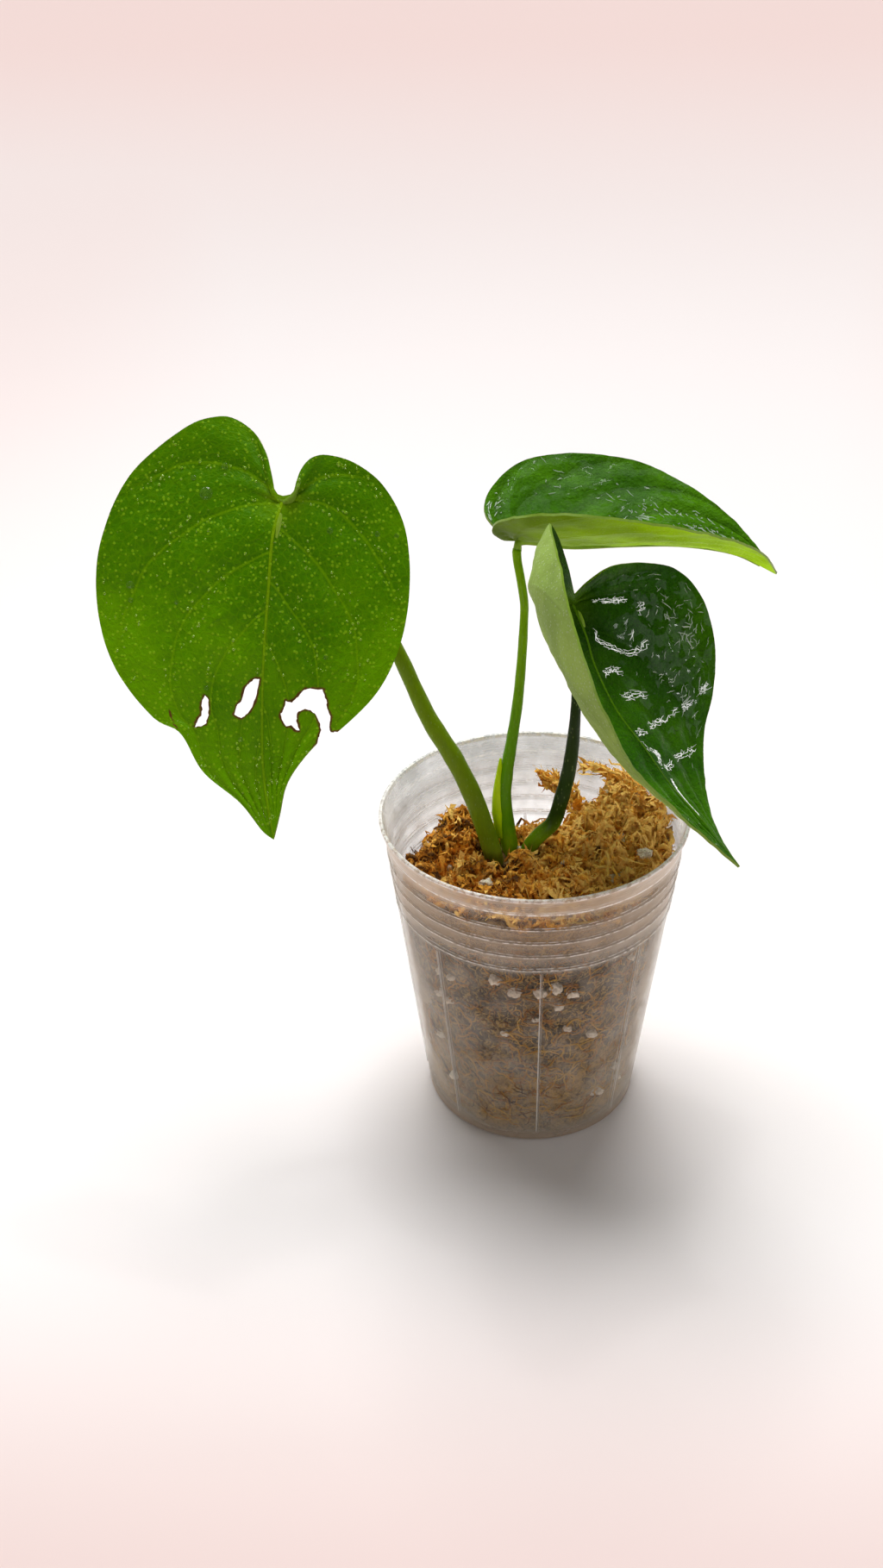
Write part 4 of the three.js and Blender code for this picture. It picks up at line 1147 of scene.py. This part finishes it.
def leaf_face(name, deep, bright, rib, settings):
    """The upper face of a blade: veins, cloudy greens, fine dots and torn edges. Painted shade lies along the
    sunken side veins, and painted light and shade follow the puckers.
    """
    paint = Paint(name, IOR=1.45, Specular_IOR_Level=settings["gloss"], Coat_Roughness=settings["film"],
                  Coat_IOR=1.33)
    point = paint.place()
    across, down, _ = paint.uv("blade")
    from_rib, spread, _ = paint.uv("span")
    from_rib = from_rib * FROM_RIB_UNIT
    broad = paint.clouds(point, settings["patch"], 2)
    fine = paint.clouds(point, 1.6, 3, 0.6)
    off_vein, out = vein_lines(paint, across, down, spread, (paint.clouds(point, 12, 1) - 0.5) * 0.02)
    side_vein = paint.fall(off_vein, 0.1, settings["vein_width"]) * paint.fall(out, 0.8, 0.98)
    trough = paint.fall(off_vein, 0.2, 2.4)
    small = paint.cells(paint.joined(down * 60 + fine * 0.6, out * 22, 0), 1, "DISTANCE_TO_EDGE")
    net = paint.fall(small, 0.02, 0.16)
    rib_width = paint.rise(down, 0.25, 1.0, 0.5, 0.15)
    main = paint.fall(from_rib - rib_width * 0.5, 0.0, 0.3) * paint.rise(down, 0.28, 0.31)
    lower = paint.rise(down, 0.35, 0.9) - 0.5
    blend = broad + (fine - 0.5) * 0.25 + settings["edge"] * (out - 0.5) + lower * settings["tip"]
    blend = paint.rise(blend, 0.3, 0.72)
    skin = paint.mix(blend, deep, bright)
    ripple = paint.clouds(point, settings["pucker"], 4, 0.6, 0.4)
    # Painted shade in the troughs along the side veins, and painted light and shade that follow the puckers'
    # height.
    skin = paint.shade(skin, 1.06 - trough * settings["trough"] + (ripple - 0.5) * settings["pucker_shading"])
    skin = paint.shade(skin, paint.rise(out + down * 0.6, 0.15, 0.6, settings["dark"], 1.0))
    skin = paint.mix(net * settings["net"], skin, settings["vein"])
    skin = paint.mix(side_vein * settings["vein_part"], skin, settings["vein"])
    skin = paint.mix(paint.fall(down, 0.26, 0.4) * paint.rise(from_rib, 1.5, 9, 0.45, 0.0), skin, rib)
    skin = paint.mix(main * paint.rise(down, 0.3, 0.9, 0.7, 0.4), skin, rib)
    sizes = paint.clouds(point, 6, 1) * 0.16
    dots = paint.fall(paint.cells(point, settings["dot_gap"]) - sizes, 0.11, 0.23)
    skin = paint.mix(dots * settings["dots"], skin, settings["dot"])
    patchy = paint.clouds(point, 2.6, 3, 0.6)
    wound = paint.rise(paint.torn() + (patchy - 0.5) * 1.3, 0.45, 0.85)
    skin = paint.mix(wound, skin, paint.mix(fine, (0.05, 0.022, 0.005), (0.2, 0.1, 0.02)))
    wet = paint.rise(paint.clouds(point, settings["film_grain"], 4, 0.65, 0.5),
                     settings["wet"] - settings["fade"], settings["wet"] + settings["fade"])
    height = ripple * settings["pucker_depth"] + net * 0.03 - trough * 0.12 + main * 0.2
    height = height + paint.clouds(point, 0.35, 2) * 0.03 + dots * 0.06
    film_edge = paint.relief(wet * 0.12, 1.0, paint.relief(height))
    rough = 0.4 + (fine - 0.5) * 0.15 - wet * settings["wet_gloss"]
    coat = wet * paint.rise(out + down * 0.5, 0.3, 0.75) * settings["coat"]
    return paint.feed(Base_Color=skin, Roughness=rough, Coat_Weight=coat, Normal=film_edge)


def leaf_back(name, plain, vein, shade, dot, base=1.0, tip=1.0):
    """The dull underside of a blade, with raised veins and fine dots. Its colour is scaled by base at the
    notch and by tip toward the tip: painted light standing in for light through the blade.
    """
    paint = Paint(name, Specular_IOR_Level=0.06)
    point = paint.place()
    across, down, _ = paint.uv("blade")
    _, spread, _ = paint.uv("span")
    fine = paint.clouds(point, 0.9, 3, 0.65)
    broad = paint.clouds(point, 16, 2)
    off_vein, _ = vein_lines(paint, across, down, spread, 0)
    side_vein = paint.fall(off_vein, 0.15, 0.7)
    dots = paint.fall(paint.cells(point, 1.0), 0.12, 0.34)
    skin = paint.mix(paint.rise(broad, 0.35, 0.65) * 0.6, plain, shade)
    skin = paint.mix(side_vein * 0.15, skin, vein)
    skin = paint.mix(dots * 0.45, skin, dot)
    # Scaled from base to tip: painted light through the blade.
    skin = paint.shade(skin, (0.85 + fine * 0.3) * paint.rise(down, 0.15, 0.75, base, tip))
    skin = paint.mix(paint.rise(paint.torn(), 0.3, 0.8), skin, (0.1, 0.05, 0.015))
    height = side_vein * 0.08 + fine * 0.12 + dots * 0.06
    return paint.feed(Base_Color=skin, Roughness=0.5 + fine * 0.15, Normal=paint.relief(height))


def plain_green(name, skin):
    """A green with fine streaks, for rims and ribs."""
    paint = Paint(name)
    point = paint.place()
    fine = paint.clouds(point, 0.9, 3)
    return paint.feed(Base_Color=paint.shade(skin, 0.75 + fine * 0.5), Roughness=0.4 + fine * 0.1,
                      Normal=paint.relief(fine * 0.1))


def torn_edge():
    paint = Paint("torn_edge", Roughness=0.8)
    fine = paint.clouds(paint.place(), 0.8, 3)
    return paint.feed(Base_Color=paint.mix(fine, (0.05, 0.02, 0.006), (0.22, 0.12, 0.04)))


LIGHT_FACE = {
    "pucker_shading": 0.2, "patch": 26, "edge": 0.3, "tip": 0.42, "dark": 0.95, "trough": 0.1,
    "vein": (0.2, 0.42, 0.001), "vein_width": 0.6, "vein_part": 0.45, "net": 0.16,
    "dot": (0.26, 0.5, 0.01), "dot_gap": 1.5, "dots": 0.62, "pucker": 2.2, "pucker_depth": 0.35,
    "gloss": 0.05, "film": 0.08, "film_grain": 14, "fade": 0.03, "wet": 0.66, "wet_gloss": 0.2, "coat": 0.3,
}
DARK_FACE = {
    "patch": 18, "edge": 0.1, "tip": 0.1, "vein_width": 0.5, "net": 0.1, "dot_gap": 1.3, "dots": 0.08,
    "pucker": 1.1, "gloss": 0.03, "film": 0.05, "fade": 0.16,
}
TOP_FACE = {
    **DARK_FACE, "pucker_shading": 0.9, "dark": 0.9, "trough": 0.25, "vein": (0.06, 0.19, 0.004), "vein_part": 0.25,
    "dot": (0.16, 0.3, 0.06), "pucker_depth": 0.75, "film_grain": 6, "wet": 0.4, "wet_gloss": 0.1,
    "coat": 0.06,
}
WET_FACE = {
    **DARK_FACE, "pucker_shading": 0.8, "dark": 0.4, "trough": 0.15, "vein": (0.05, 0.15, 0.006), "vein_part": 0.2,
    "dot": (0.14, 0.26, 0.05), "pucker_depth": 0.55, "film_grain": 2.6, "wet": 0.42, "wet_gloss": 0.14,
    "coat": 0.5,
}


class PLANT_OT_leaves(bpy.types.Operator):
    """Lofts the three blades from their ribs and margins, with their torn places"""
    bl_idname = "plant.leaves"
    bl_label = "Leaves"

    def execute(self, context):
        sizes = context.scene.plant.leaf
        thick = sizes.thickness / MM
        light = leaf_face("leaf_green", sizes.light, (0.115, 0.31, 0), (0.26, 0.46, 0.003), LIGHT_FACE)
        top = leaf_face("leaf_top_green", sizes.top, (0.07, 0.22, 0.001), (0.14, 0.3, 0.004), TOP_FACE)
        wet = leaf_face("leaf_wet_green", sizes.wet, (0.05, 0.18, 0.001), (0.13, 0.3, 0.006), WET_FACE)
        light_back = leaf_back("leaf_green_back", (0.16, 0.29, 0.02), (0.2, 0.32, 0.04), (0.12, 0.24, 0.01),
                               (0.22, 0.36, 0.06))
        # The top underside is painted lighter toward its tip and the right underside darker: painted light
        # through the blade.
        top_back = leaf_back("leaf_top_back", sizes.top_below, (0.32, 0.46, 0.04), (0.15, 0.28, 0.002),
                             (0.36, 0.5, 0.05), 0.36, 1.8)
        right_back = leaf_back("leaf_right_back", sizes.right_below, (0.3, 0.4, 0.13), (0.24, 0.36, 0.09),
                               (0.56, 0.68, 0.42), 1.0, 0.72)
        shared = [plain_green("leaf_rim", (0.2, 0.34, 0.02)), torn_edge(),
                  plain_green("leaf_rib", (0.24, 0.42, 0.01))]
        for name, leaf, faces, quilt, pucker, slot in (
                ("left", LEAF_LEFT, [light, light_back], 0.45, 0.2, "leaf_light"),
                ("top", LEAF_TOP, [top, top_back], 0.5, 0.3, "leaf_dark"),
                ("right", LEAF_RIGHT, [wet, right_back], 0.5, 0.35, "leaf_dark")):
            self.leaf(name, leaf, [*faces, *shared], thick, quilt, pucker, slot)
        return {"FINISHED"}

    def leaf(self, name, leaf, materials, thick, quilt, pucker, slot):
        """One blade and the rib below it. It swells between its veins by quilt and is uneven by pucker."""
        blade = Blade(leaf)

        def span(across, down):
            """How far a point is from the rib, and how fast the lines across the blade spread there."""
            side = across * 2 - 1
            here = blade.at(down, side)
            step = 0.004
            low, high = max(down - step, 0), min(down + step, 1)
            out = (blade.at(down, side * 0.98 + 0.01) - here).normalized()
            move = (blade.at(high, side) - blade.at(low, side)) / (high - low)
            from_rib = (here - blade.rib.at(blade.foot(down))).length
            return from_rib / FROM_RIB_UNIT, (move - out * move.dot(out)).length / SPREAD_UNIT

        bm, spots = sheet(96, 120, lambda across, down: blade.at(down, across * 2 - 1), "blade",
                          ("span", span))
        bm.normal_update()
        moves = {}
        for vert, (across, down) in spots.items():
            out = abs(across * 2 - 1)
            turn = vein_turn(down, out, across * 2 - 1)
            swell = 0.5 - math.sin(math.pi * (turn % 1)) ** 2
            calm = smooth(0, 0.12, out) * smooth(0, 0.15, down) * smooth(0, 0.1, 1 - down)
            lumps = noise.noise(vert.co * 0.22) + 0.5 * noise.noise(vert.co * 0.5)
            moves[vert] = (quilt * swell * smooth(1, 0.8, out) + pucker * lumps) * calm
        for vert, move in moves.items():
            vert.co += vert.normal * move
        bmesh.ops.remove_doubles(bm, verts=bm.verts, dist=0.03)
        modifiers = [("SOLIDIFY", {"thickness": thick, "offset": 0, "material_offset": BLADE_BACK,
                                   "material_offset_rim": BLADE_RIM})]
        torn = name == "left"
        if torn:
            modifiers.append(("BOOLEAN", {"object": placed(self.tears(), "tears"), "operation": "DIFFERENCE",
                                          "solver": "EXACT", "use_self": True}))
        bm = finished(bm, materials, *modifiers)
        if torn:
            self.sweep(bm)
            self.scorch(bm)
        route, share = stalk_route(leaf)
        under = rod(route, lambda part: stepped(RIB_RADII, part) * 0.97, sides=12, steps=60,
                    start=share - 0.012)
        for face in under.faces:
            face.material_index = BLADE_RIB
        keep(joined(bm, under), "leaf_" + name + "_blade", materials, slot, ["leaf_" + name], sharp=40)

    def tears(self):
        """Ragged prisms that cut the bites out of the left blade."""
        bm = bmesh.new()
        for outline in TEARS:
            verts = [bm.verts.new((x, y, -CUT_DEPTH)) for x, y in outline]
            edges = [bm.edges.new(pair) for pair in zip(verts, verts[1:] + verts[:1])]
            parts = bmesh.ops.subdivide_edges(bm, edges=edges, cuts=3)["geom_split"]
            ring = set()
            for part in parts:
                ring.update([part] if isinstance(part, bmesh.types.BMVert) else part.verts)
            for vert in ring:
                spot = vert.co * 1.3
                vert.co += Vector((noise.noise(spot), noise.noise(spot + Vector((9, 9, 9))), 0)) * 0.35
        bmesh.ops.contextual_create(bm, geom=bm.edges)
        faces = bmesh.ops.extrude_face_region(bm, geom=bm.faces)["geom"]
        bmesh.ops.translate(bm, vec=(0, 0, 2 * CUT_DEPTH),
                            verts=[item for item in faces if isinstance(item, bmesh.types.BMVert)])
        bmesh.ops.recalc_face_normals(bm, faces=bm.faces)
        bmesh.ops.transform(bm, matrix=BLADE_PLANE, verts=bm.verts)
        for face in bm.faces:
            face.material_index = BLADE_TORN
        return bm

    def sweep(self, bm):
        """Drops the crumbs that the cuts leave loose."""
        left = set(bm.verts)
        while left:
            island = set()
            edge = [left.pop()]
            while edge:
                vert = edge.pop()
                island.add(vert)
                near = {link.other_vert(vert) for link in vert.link_edges} & left
                left -= near
                edge += near
            if len(island) < CRUMB_POINTS:
                bmesh.ops.delete(bm, geom=list(island), context="VERTS")

    def scorch(self, bm):
        """Marks how near each point is to a torn edge."""
        layer = bm.verts.layers.float.new("torn")
        away = BLADE_PLANE.inverted()
        sides = [(Vector(start), Vector(end)) for outline in TEARS
                 for start, end in zip(outline, outline[1:] + outline[:1])]
        blade = Blade(LEAF_LEFT)
        slit = [(away @ blade.at(down, across)).to_2d() for down, across in SLIT]
        for vert in bm.verts:
            spot = (away @ vert.co).to_2d()
            if TORN_BAND[0] <= spot.y <= TORN_BAND[1]:
                near = min(self.gap(spot, start, end) for start, end in sides)
                near = min(near, *(2.2 * self.gap(spot, start, end) for start, end in zip(slit, slit[1:])))
                vert[layer] = math.exp(-(near / 0.75) ** 2)

    def gap(self, spot, start, end):
        """The distance from a point to a straight edge."""
        way = end - start
        part = min(max((spot - start).dot(way) / way.length_squared, 0), 1)
        return (spot - start - way * part).length


def water_paint(name, tint, part, glint=0.0):
    """Clear water with little colour of its own and a glossy face. It is more opaque toward its outline, a
    painted bright rim, and glint makes it glow white, a painted highlight.
    """
    paint = Paint(name, IOR=1.33, Coat_Weight=1.0, Coat_Roughness=0.02, Specular_IOR_Level=0.8,
                  Emission_Color=(1, 1, 1), Emission_Strength=glint)
    point = paint.place()
    facing = paint.facing(0.4)
    soft = paint.clouds(point, 2, 1)
    alpha = part + facing * 0.25 + (soft - 0.5) * 0.1
    pale = [min(1, channel) for channel in scaled(tint, 1.5)]
    return paint.feed(Base_Color=paint.mix(soft, tint, pale), Roughness=0.04 + soft * 0.03, Alpha=alpha)


def dome(blade, down, across, radius, tall, steps):
    """A drop that sits on a blade, as a short strand that stands up from it."""
    root = blade.at(down, across)
    normal = blade.normal(down, across)
    points = []
    radii = []
    for step in range(steps):
        turn = math.pi / 2 * step / (steps - 1)
        points.append(root + normal * (0.2 + radius * tall * math.sin(turn)))
        radii.append(radius * max(math.cos(turn), 0.001))
    return points, radii, 0.5, normal.orthogonal()


# How far lines of water stand off the middle of a blade.
WATER_LIFT = 0.42
# Lines of water on the right leaf, down from its notch and across. They are white and glow a little: painted
# highlights.
SQUIGGLES = [
    [(0.31, -0.17), (0.318, -0.31), (0.324, -0.44)],
    [(0.356, -0.3), (0.368, -0.355), (0.361, -0.49), (0.346, -0.56)],
    [(0.393, -0.09), (0.413, -0.085), (0.434, -0.15), (0.455, -0.27), (0.459, -0.36), (0.438, -0.5),
     (0.406, -0.5), (0.402, -0.42), (0.429, -0.375)],
    [(0.502, -0.05), (0.495, -0.14), (0.506, -0.255), (0.514, -0.335), (0.525, -0.35), (0.526, -0.4)],
    [(0.581, -0.135), (0.57, -0.08), (0.561, -0.186), (0.558, -0.305), (0.568, -0.44), (0.577, -0.54)],
    [(0.66, -0.06), (0.647, -0.21), (0.623, -0.48), (0.606, -0.63), (0.6, -0.68)],
    [(0.601, -0.72), (0.585, -0.82), (0.566, -0.89), (0.556, -0.95)],
    [(0.692, -0.03), (0.705, -0.115), (0.711, -0.21), (0.738, -0.08)],
    [(0.748, -0.14), (0.734, -0.42), (0.717, -0.61), (0.705, -0.88)],
    [(0.766, -0.18), (0.795, -0.12), (0.827, -0.08), (0.854, -0.06), (0.87, -0.05)],
]


class PLANT_OT_water(bpy.types.Operator):
    """Sprinkles drops on the left leaf and runs of water on the two wet leaves; the pale drops and the white,
    faintly glowing runs, beads and glints are painted highlights
    """
    bl_idname = "plant.water"
    bl_label = "Water"

    def execute(self, context):
        rng = random.Random(11)
        left = Blade(LEAF_LEFT)
        small = []
        while len(small) < context.scene.plant.leaf.drops:
            down, across = rng.uniform(0.03, 0.97), rng.uniform(-0.97, 0.97)
            spot = left.at(down, across)
            room = (left.at(min(down + 0.02, 1), across) - spot).length
            if rng.random() > room / 3.2 or self.torn(spot):
                continue
            radius = 0.2 + 0.28 * rng.random() ** 2
            small.append(dome(left, down, across, radius, tall=0.55, steps=4))
        # The fine drops are painted paler than the leaf: a painted highlight.
        fine = water_paint("fine_drop", (0.3, 0.54, 0.03), 0.5)
        keep(bundle(small, sides=8), "fine_drops", [fine], "leaf_light")
        # Each large drop has its place, down from the notch and across, and its radius.
        large = [(0.334, 0.5, 1.9), (0.312, 0.635, 0.9), (0.249, 0.54, 0.95), (0.514, 0.807, 1.1),
                 (0.538, 0.806, 0.7), (0.542, 0.54, 0.8), (0.356, -0.777, 0.8), (0.356, -0.92, 0.8),
                 (0.363, -0.41, 1.0), (0.62, -0.5, 0.7), (0.45, 0.3, 0.6), (0.7, 0.45, 0.6), (0.81, 0.3, 0.7)]
        domes = [dome(left, down, across, size, tall=0.5, steps=8) for down, across, size in large]
        clear = water_paint("large_drop", (0.12, 0.24, 0.03), 0.2)
        keep(bundle(domes, sides=24), "large_drops", [clear], "leaf_light")
        right = Blade(LEAF_RIGHT)
        runs = []
        beads = []
        for squiggle in SQUIGGLES:
            line = Line([(down, across, 0) for down, across in squiggle])
            runs += [self.run(rng, right, line, size, aside)
                     for size, aside in ((0.12, 0), (0.08, 0.006), (0.06, -0.007))]
            beads += self.beads(rng, right, line)
        top = Blade(LEAF_TOP)
        glints = [self.glint(rng, *place) for count, *place in (
            (150, top, 0.72, 0.12, -0.47, 0.13), (40, top, 0.86, 0.06, -0.2, 0.1),
            (30, top, 0.2, 0.1, -0.75, 0.12), (120, right, 0.45, 0.1, -0.75, 0.12)) for _ in range(count)]
        pale = water_paint("glint", (0.6, 0.76, 0.56), 0.35, 0.08)
        keep(bundle(glints, sides=6), "glints", [pale], "leaf_dark")
        # The runs and beads are near white and glow: painted highlights on the lines of water.
        shine = water_paint("painted_glint_water", (0.95, 1, 0.95), 0.75, 0.34)
        keep(bundle(runs, sides=8), "water_runs", [shine], "leaf_dark")
        keep(bundle(beads, sides=8), "water_beads", [shine], "leaf_dark")
        return {"FINISHED"}

    def torn(self, spot):
        """True near the bites and tears."""
        flat = (BLADE_PLANE.inverted() @ spot).to_2d()
        return -24 < flat.x < 16 and (-60 if flat.x < 5 else -68) < flat.y < -44

    def glint(self, rng, blade, down, down_spread, across, across_spread):
        """One short wrinkle of water, pale and faintly glowing: a painted glint."""
        spot = Vector((rng.gauss(down, down_spread), rng.gauss(across, across_spread), 0))
        spot.x = min(max(spot.x, 0.04), 0.96)
        spot.y = min(max(spot.y, -0.95), -0.05)
        way = Vector((rng.gauss(0.004, 0.006), rng.gauss(0.012, 0.012), 0))
        size = rng.uniform(0.07, 0.16)
        points = []
        for step in range(5):
            here = spot + way * (step / 2 - 1) + Vector((rng.gauss(0, 0.001), rng.gauss(0, 0.003), 0))
            points.append(blade.at(here.x, here.y) + blade.normal(here.x, here.y) * WATER_LIFT)
        for index in range(1, 5):
            if (points[index] - points[index - 1]).length < 0.02:
                points[index] += Vector((0.03, 0, 0)) * index
        return points, [0.3 * size, size, size * 1.1, size, 0.3 * size], 0.5, blade.normal(spot.x, spot.y)

    def beads(self, rng, blade, line):
        """Beads in rows across a line of water, like the teeth of a comb."""
        made = []
        part = 0.02
        while part < 0.98:
            spot = line.at(part)
            ahead = (line.at(part + 0.02) - line.at(part - 0.02)).normalized()
            teeth = rng.choice((1, 1, 2))
            for tooth in range(teeth):
                aside = (tooth + rng.uniform(0.2, 0.8)) * 0.0045
                here = spot + Vector((ahead.y, -ahead.x, 0)) * aside * (1 if abs(ahead.y) > 0.5 else 4)
                if 0.02 < here.x < 0.98 and -0.98 < here.y < 0:
                    made.append(dome(blade, here.x, here.y, rng.uniform(0.06, 0.17), tall=0.6,
                                     steps=4))
            part += rng.uniform(0.02, 0.08)
        return made

    def run(self, rng, blade, line, size, aside):
        """One wavy line of water on a blade."""
        points = []
        radii = []
        steps = 40
        for step in range(steps):
            spot = line.at(step / (steps - 1))
            spot += Vector((aside + rng.gauss(0, 0.0026), rng.gauss(0, 0.014), 0))
            points.append(blade.at(spot.x, spot.y) + blade.normal(spot.x, spot.y) * WATER_LIFT)
            radii.append(size * (0.3 if step in (0, steps - 1) else rng.uniform(0.45, 1.35)))
        return points, radii, 0.5, blade.normal(*line.at(0.5).to_2d())


def floor_paint(sizes):
    paint = Paint("pale_floor", Specular_IOR_Level=0.1)
    x, y, _ = paint.split(paint.node("ShaderNodeTexCoord", {}, {}, "Object"))
    near = paint.fall(y, -0.2, -0.06)
    far = paint.rise(y, 0.18, 2.8)
    side = paint.rise(abs(x), 0.1, 0.45) * 0.5
    paper = paint.clouds(paint.place(), 30, 2)
    edge = paint.maths("MAXIMUM", paint.maths("MAXIMUM", near, far), side)
    skin = paint.mix(edge, sizes.floor, sizes.far)
    skin = paint.shade(skin, 1 - near * 0.17)
    return paint.feed(Base_Color=skin, Roughness=0.75 + paper * 0.1)


class PLANT_OT_stage(bpy.types.Operator):
    """Sets the pale floor, the soft lights and the camera"""
    bl_idname = "plant.stage"
    bl_label = "Stage"

    def execute(self, context):
        scene = context.scene
        sizes = scene.plant.stage
        bm = bmesh.new()
        bmesh.ops.create_grid(bm, x_segments=2, y_segments=2, size=12)
        floor = placed(bm, "floor", [floor_paint(sizes)])
        scene.world = self.studio(sizes.sky)
        self.lamp("sun", "SUN", sizes.sun, (-0.03, 0.31, 1.0), angle=math.radians(35))
        for name, energy, place, wide, tall in (
                ("window", 0.3, (-0.1, 0.8, 0.7), 0.12, 0.05),
                ("spark", 0.45, (0.05, 0.22, 0.9), 0.06, 0.03),
                ("side_spark", 0.2, (0.7, -0.15, 0.42), 0.06, 0.03),
                ("back_left", 0.45, (-0.4, 0.3, 0.5), 0.16, 0.16),
                ("front", 2.0, (-0.5, -1.3, 0.4), 0.8, 0.5),
                ("side", 0.65, (0.86, -0.23, 0.56), 0.55, 0.22)):
            self.lamp(name, "AREA", energy, place, shape="RECTANGLE", size=wide, size_y=tall)
        self.camera(scene)
        scene.view_settings.view_transform = "Standard"
        return {"FINISHED"}

    def studio(self, strength):
        """A studio that is bright overhead, dim on its walls and pale at the foot of them."""
        world = bpy.data.worlds.new("studio")
        world.use_nodes = True
        tree = world.node_tree
        point = tree.nodes.new("ShaderNodeTexCoord")
        split = tree.nodes.new("ShaderNodeSeparateXYZ")
        tree.links.new(point.outputs["Generated"], split.inputs[0])
        both = tree.nodes.new("ShaderNodeMath")
        for side, values in enumerate(((0.2, 0.95, 0.2 * strength, 1.2 * strength), (0.08, 0.3, 0.42, 0))):
            ramp = tree.nodes.new("ShaderNodeMapRange")
            ramp.interpolation_type = "SMOOTHSTEP"
            for index, value in enumerate(values, 1):
                ramp.inputs[index].default_value = value
            tree.links.new(split.outputs[2], ramp.inputs[0])
            tree.links.new(ramp.outputs[0], both.inputs[side])
        tree.links.new(both.outputs[0], tree.nodes["Background"].inputs[1])
        tree.nodes["Background"].inputs[0].default_value = (1, 0.985, 0.975, 1)
        return world

    def lamp(self, name, kind, energy, place, **settings):
        light = bpy.data.lights.new(name, kind)
        light.energy = energy
        for key, value in settings.items():
            setattr(light, key, value)
        lamp = bpy.data.objects.new(name, light)
        lamp.location = place
        aim = Vector((0, 0, 0.12)) - Vector(place)
        lamp.rotation_euler = aim.to_track_quat("-Z", "Y").to_euler()
        bpy.context.scene.collection.objects.link(lamp)

    def camera(self, scene):
        """The eye stands 33 degrees above the rim's centre, 450 mm away, and rolls a little."""
        elevation = math.radians(33)
        distance = 0.45
        rim_height = 0.1
        spot = Vector((0, -distance * math.cos(elevation), rim_height + distance * math.sin(elevation)))
        yaw, pitch, roll = math.radians(-4.04), math.radians(32.07), math.radians(-1.35)
        ahead = Vector((math.sin(yaw) * math.cos(pitch), math.cos(yaw) * math.cos(pitch), -math.sin(pitch)))
        right = ahead.cross(Vector((0, 0, 1))).normalized()
        up = right.cross(ahead)
        across = right * math.cos(roll) + up * math.sin(roll)
        above = up * math.cos(roll) - right * math.sin(roll)
        camera = bpy.data.cameras.new("camera")
        camera.sensor_fit = "VERTICAL"
        sensor = 36
        camera.sensor_height = sensor
        camera.lens = sensor * FOCAL_PIXELS / FRAME_PIXELS
        camera.clip_start = 0.01
        eye = bpy.data.objects.new("camera", camera)
        eye.matrix_world = Matrix((across, above, -ahead)).transposed().to_4x4()
        eye.location = spot
        scene.collection.objects.link(eye)
        scene.camera = eye


OPERATORS = (PLANT_OT_pot, PLANT_OT_growing_mix, PLANT_OT_crown, PLANT_OT_petioles, PLANT_OT_leaves,
             PLANT_OT_water, PLANT_OT_stage)


class PLANT_PT_panel(bpy.types.Panel):
    bl_idname = "PLANT_PT_panel"
    bl_label = "Potted monstera"
    bl_space_type = "VIEW_3D"
    bl_region_type = "UI"
    bl_category = "Plant"

    def draw(self, context):
        plant = context.scene.plant
        for group in (plant.pot, plant.mix, plant.stalk, plant.leaf, plant.stage):
            box = self.layout.box()
            for name in group.__annotations__:
                box.prop(group, name)
        for operator in OPERATORS:
            self.layout.operator(operator.bl_idname)


CLASSES = (PlantPotSettings, PlantMixSettings, PlantStalkSettings, PlantLeafSettings, PlantStageSettings,
           PlantSettings, *OPERATORS, PLANT_PT_panel)


def register():
    for item in CLASSES:
        bpy.utils.register_class(item)
    bpy.types.Scene.plant = PointerProperty(type=PlantSettings)


def unregister():
    del bpy.types.Scene.plant
    for item in reversed(CLASSES):
        bpy.utils.unregister_class(item)


def main():
    register()
    for operator in OPERATORS:
        name = operator.bl_idname.split(".")[1]
        getattr(bpy.ops.plant, name)()
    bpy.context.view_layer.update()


if __name__ == "__main__":
    main()
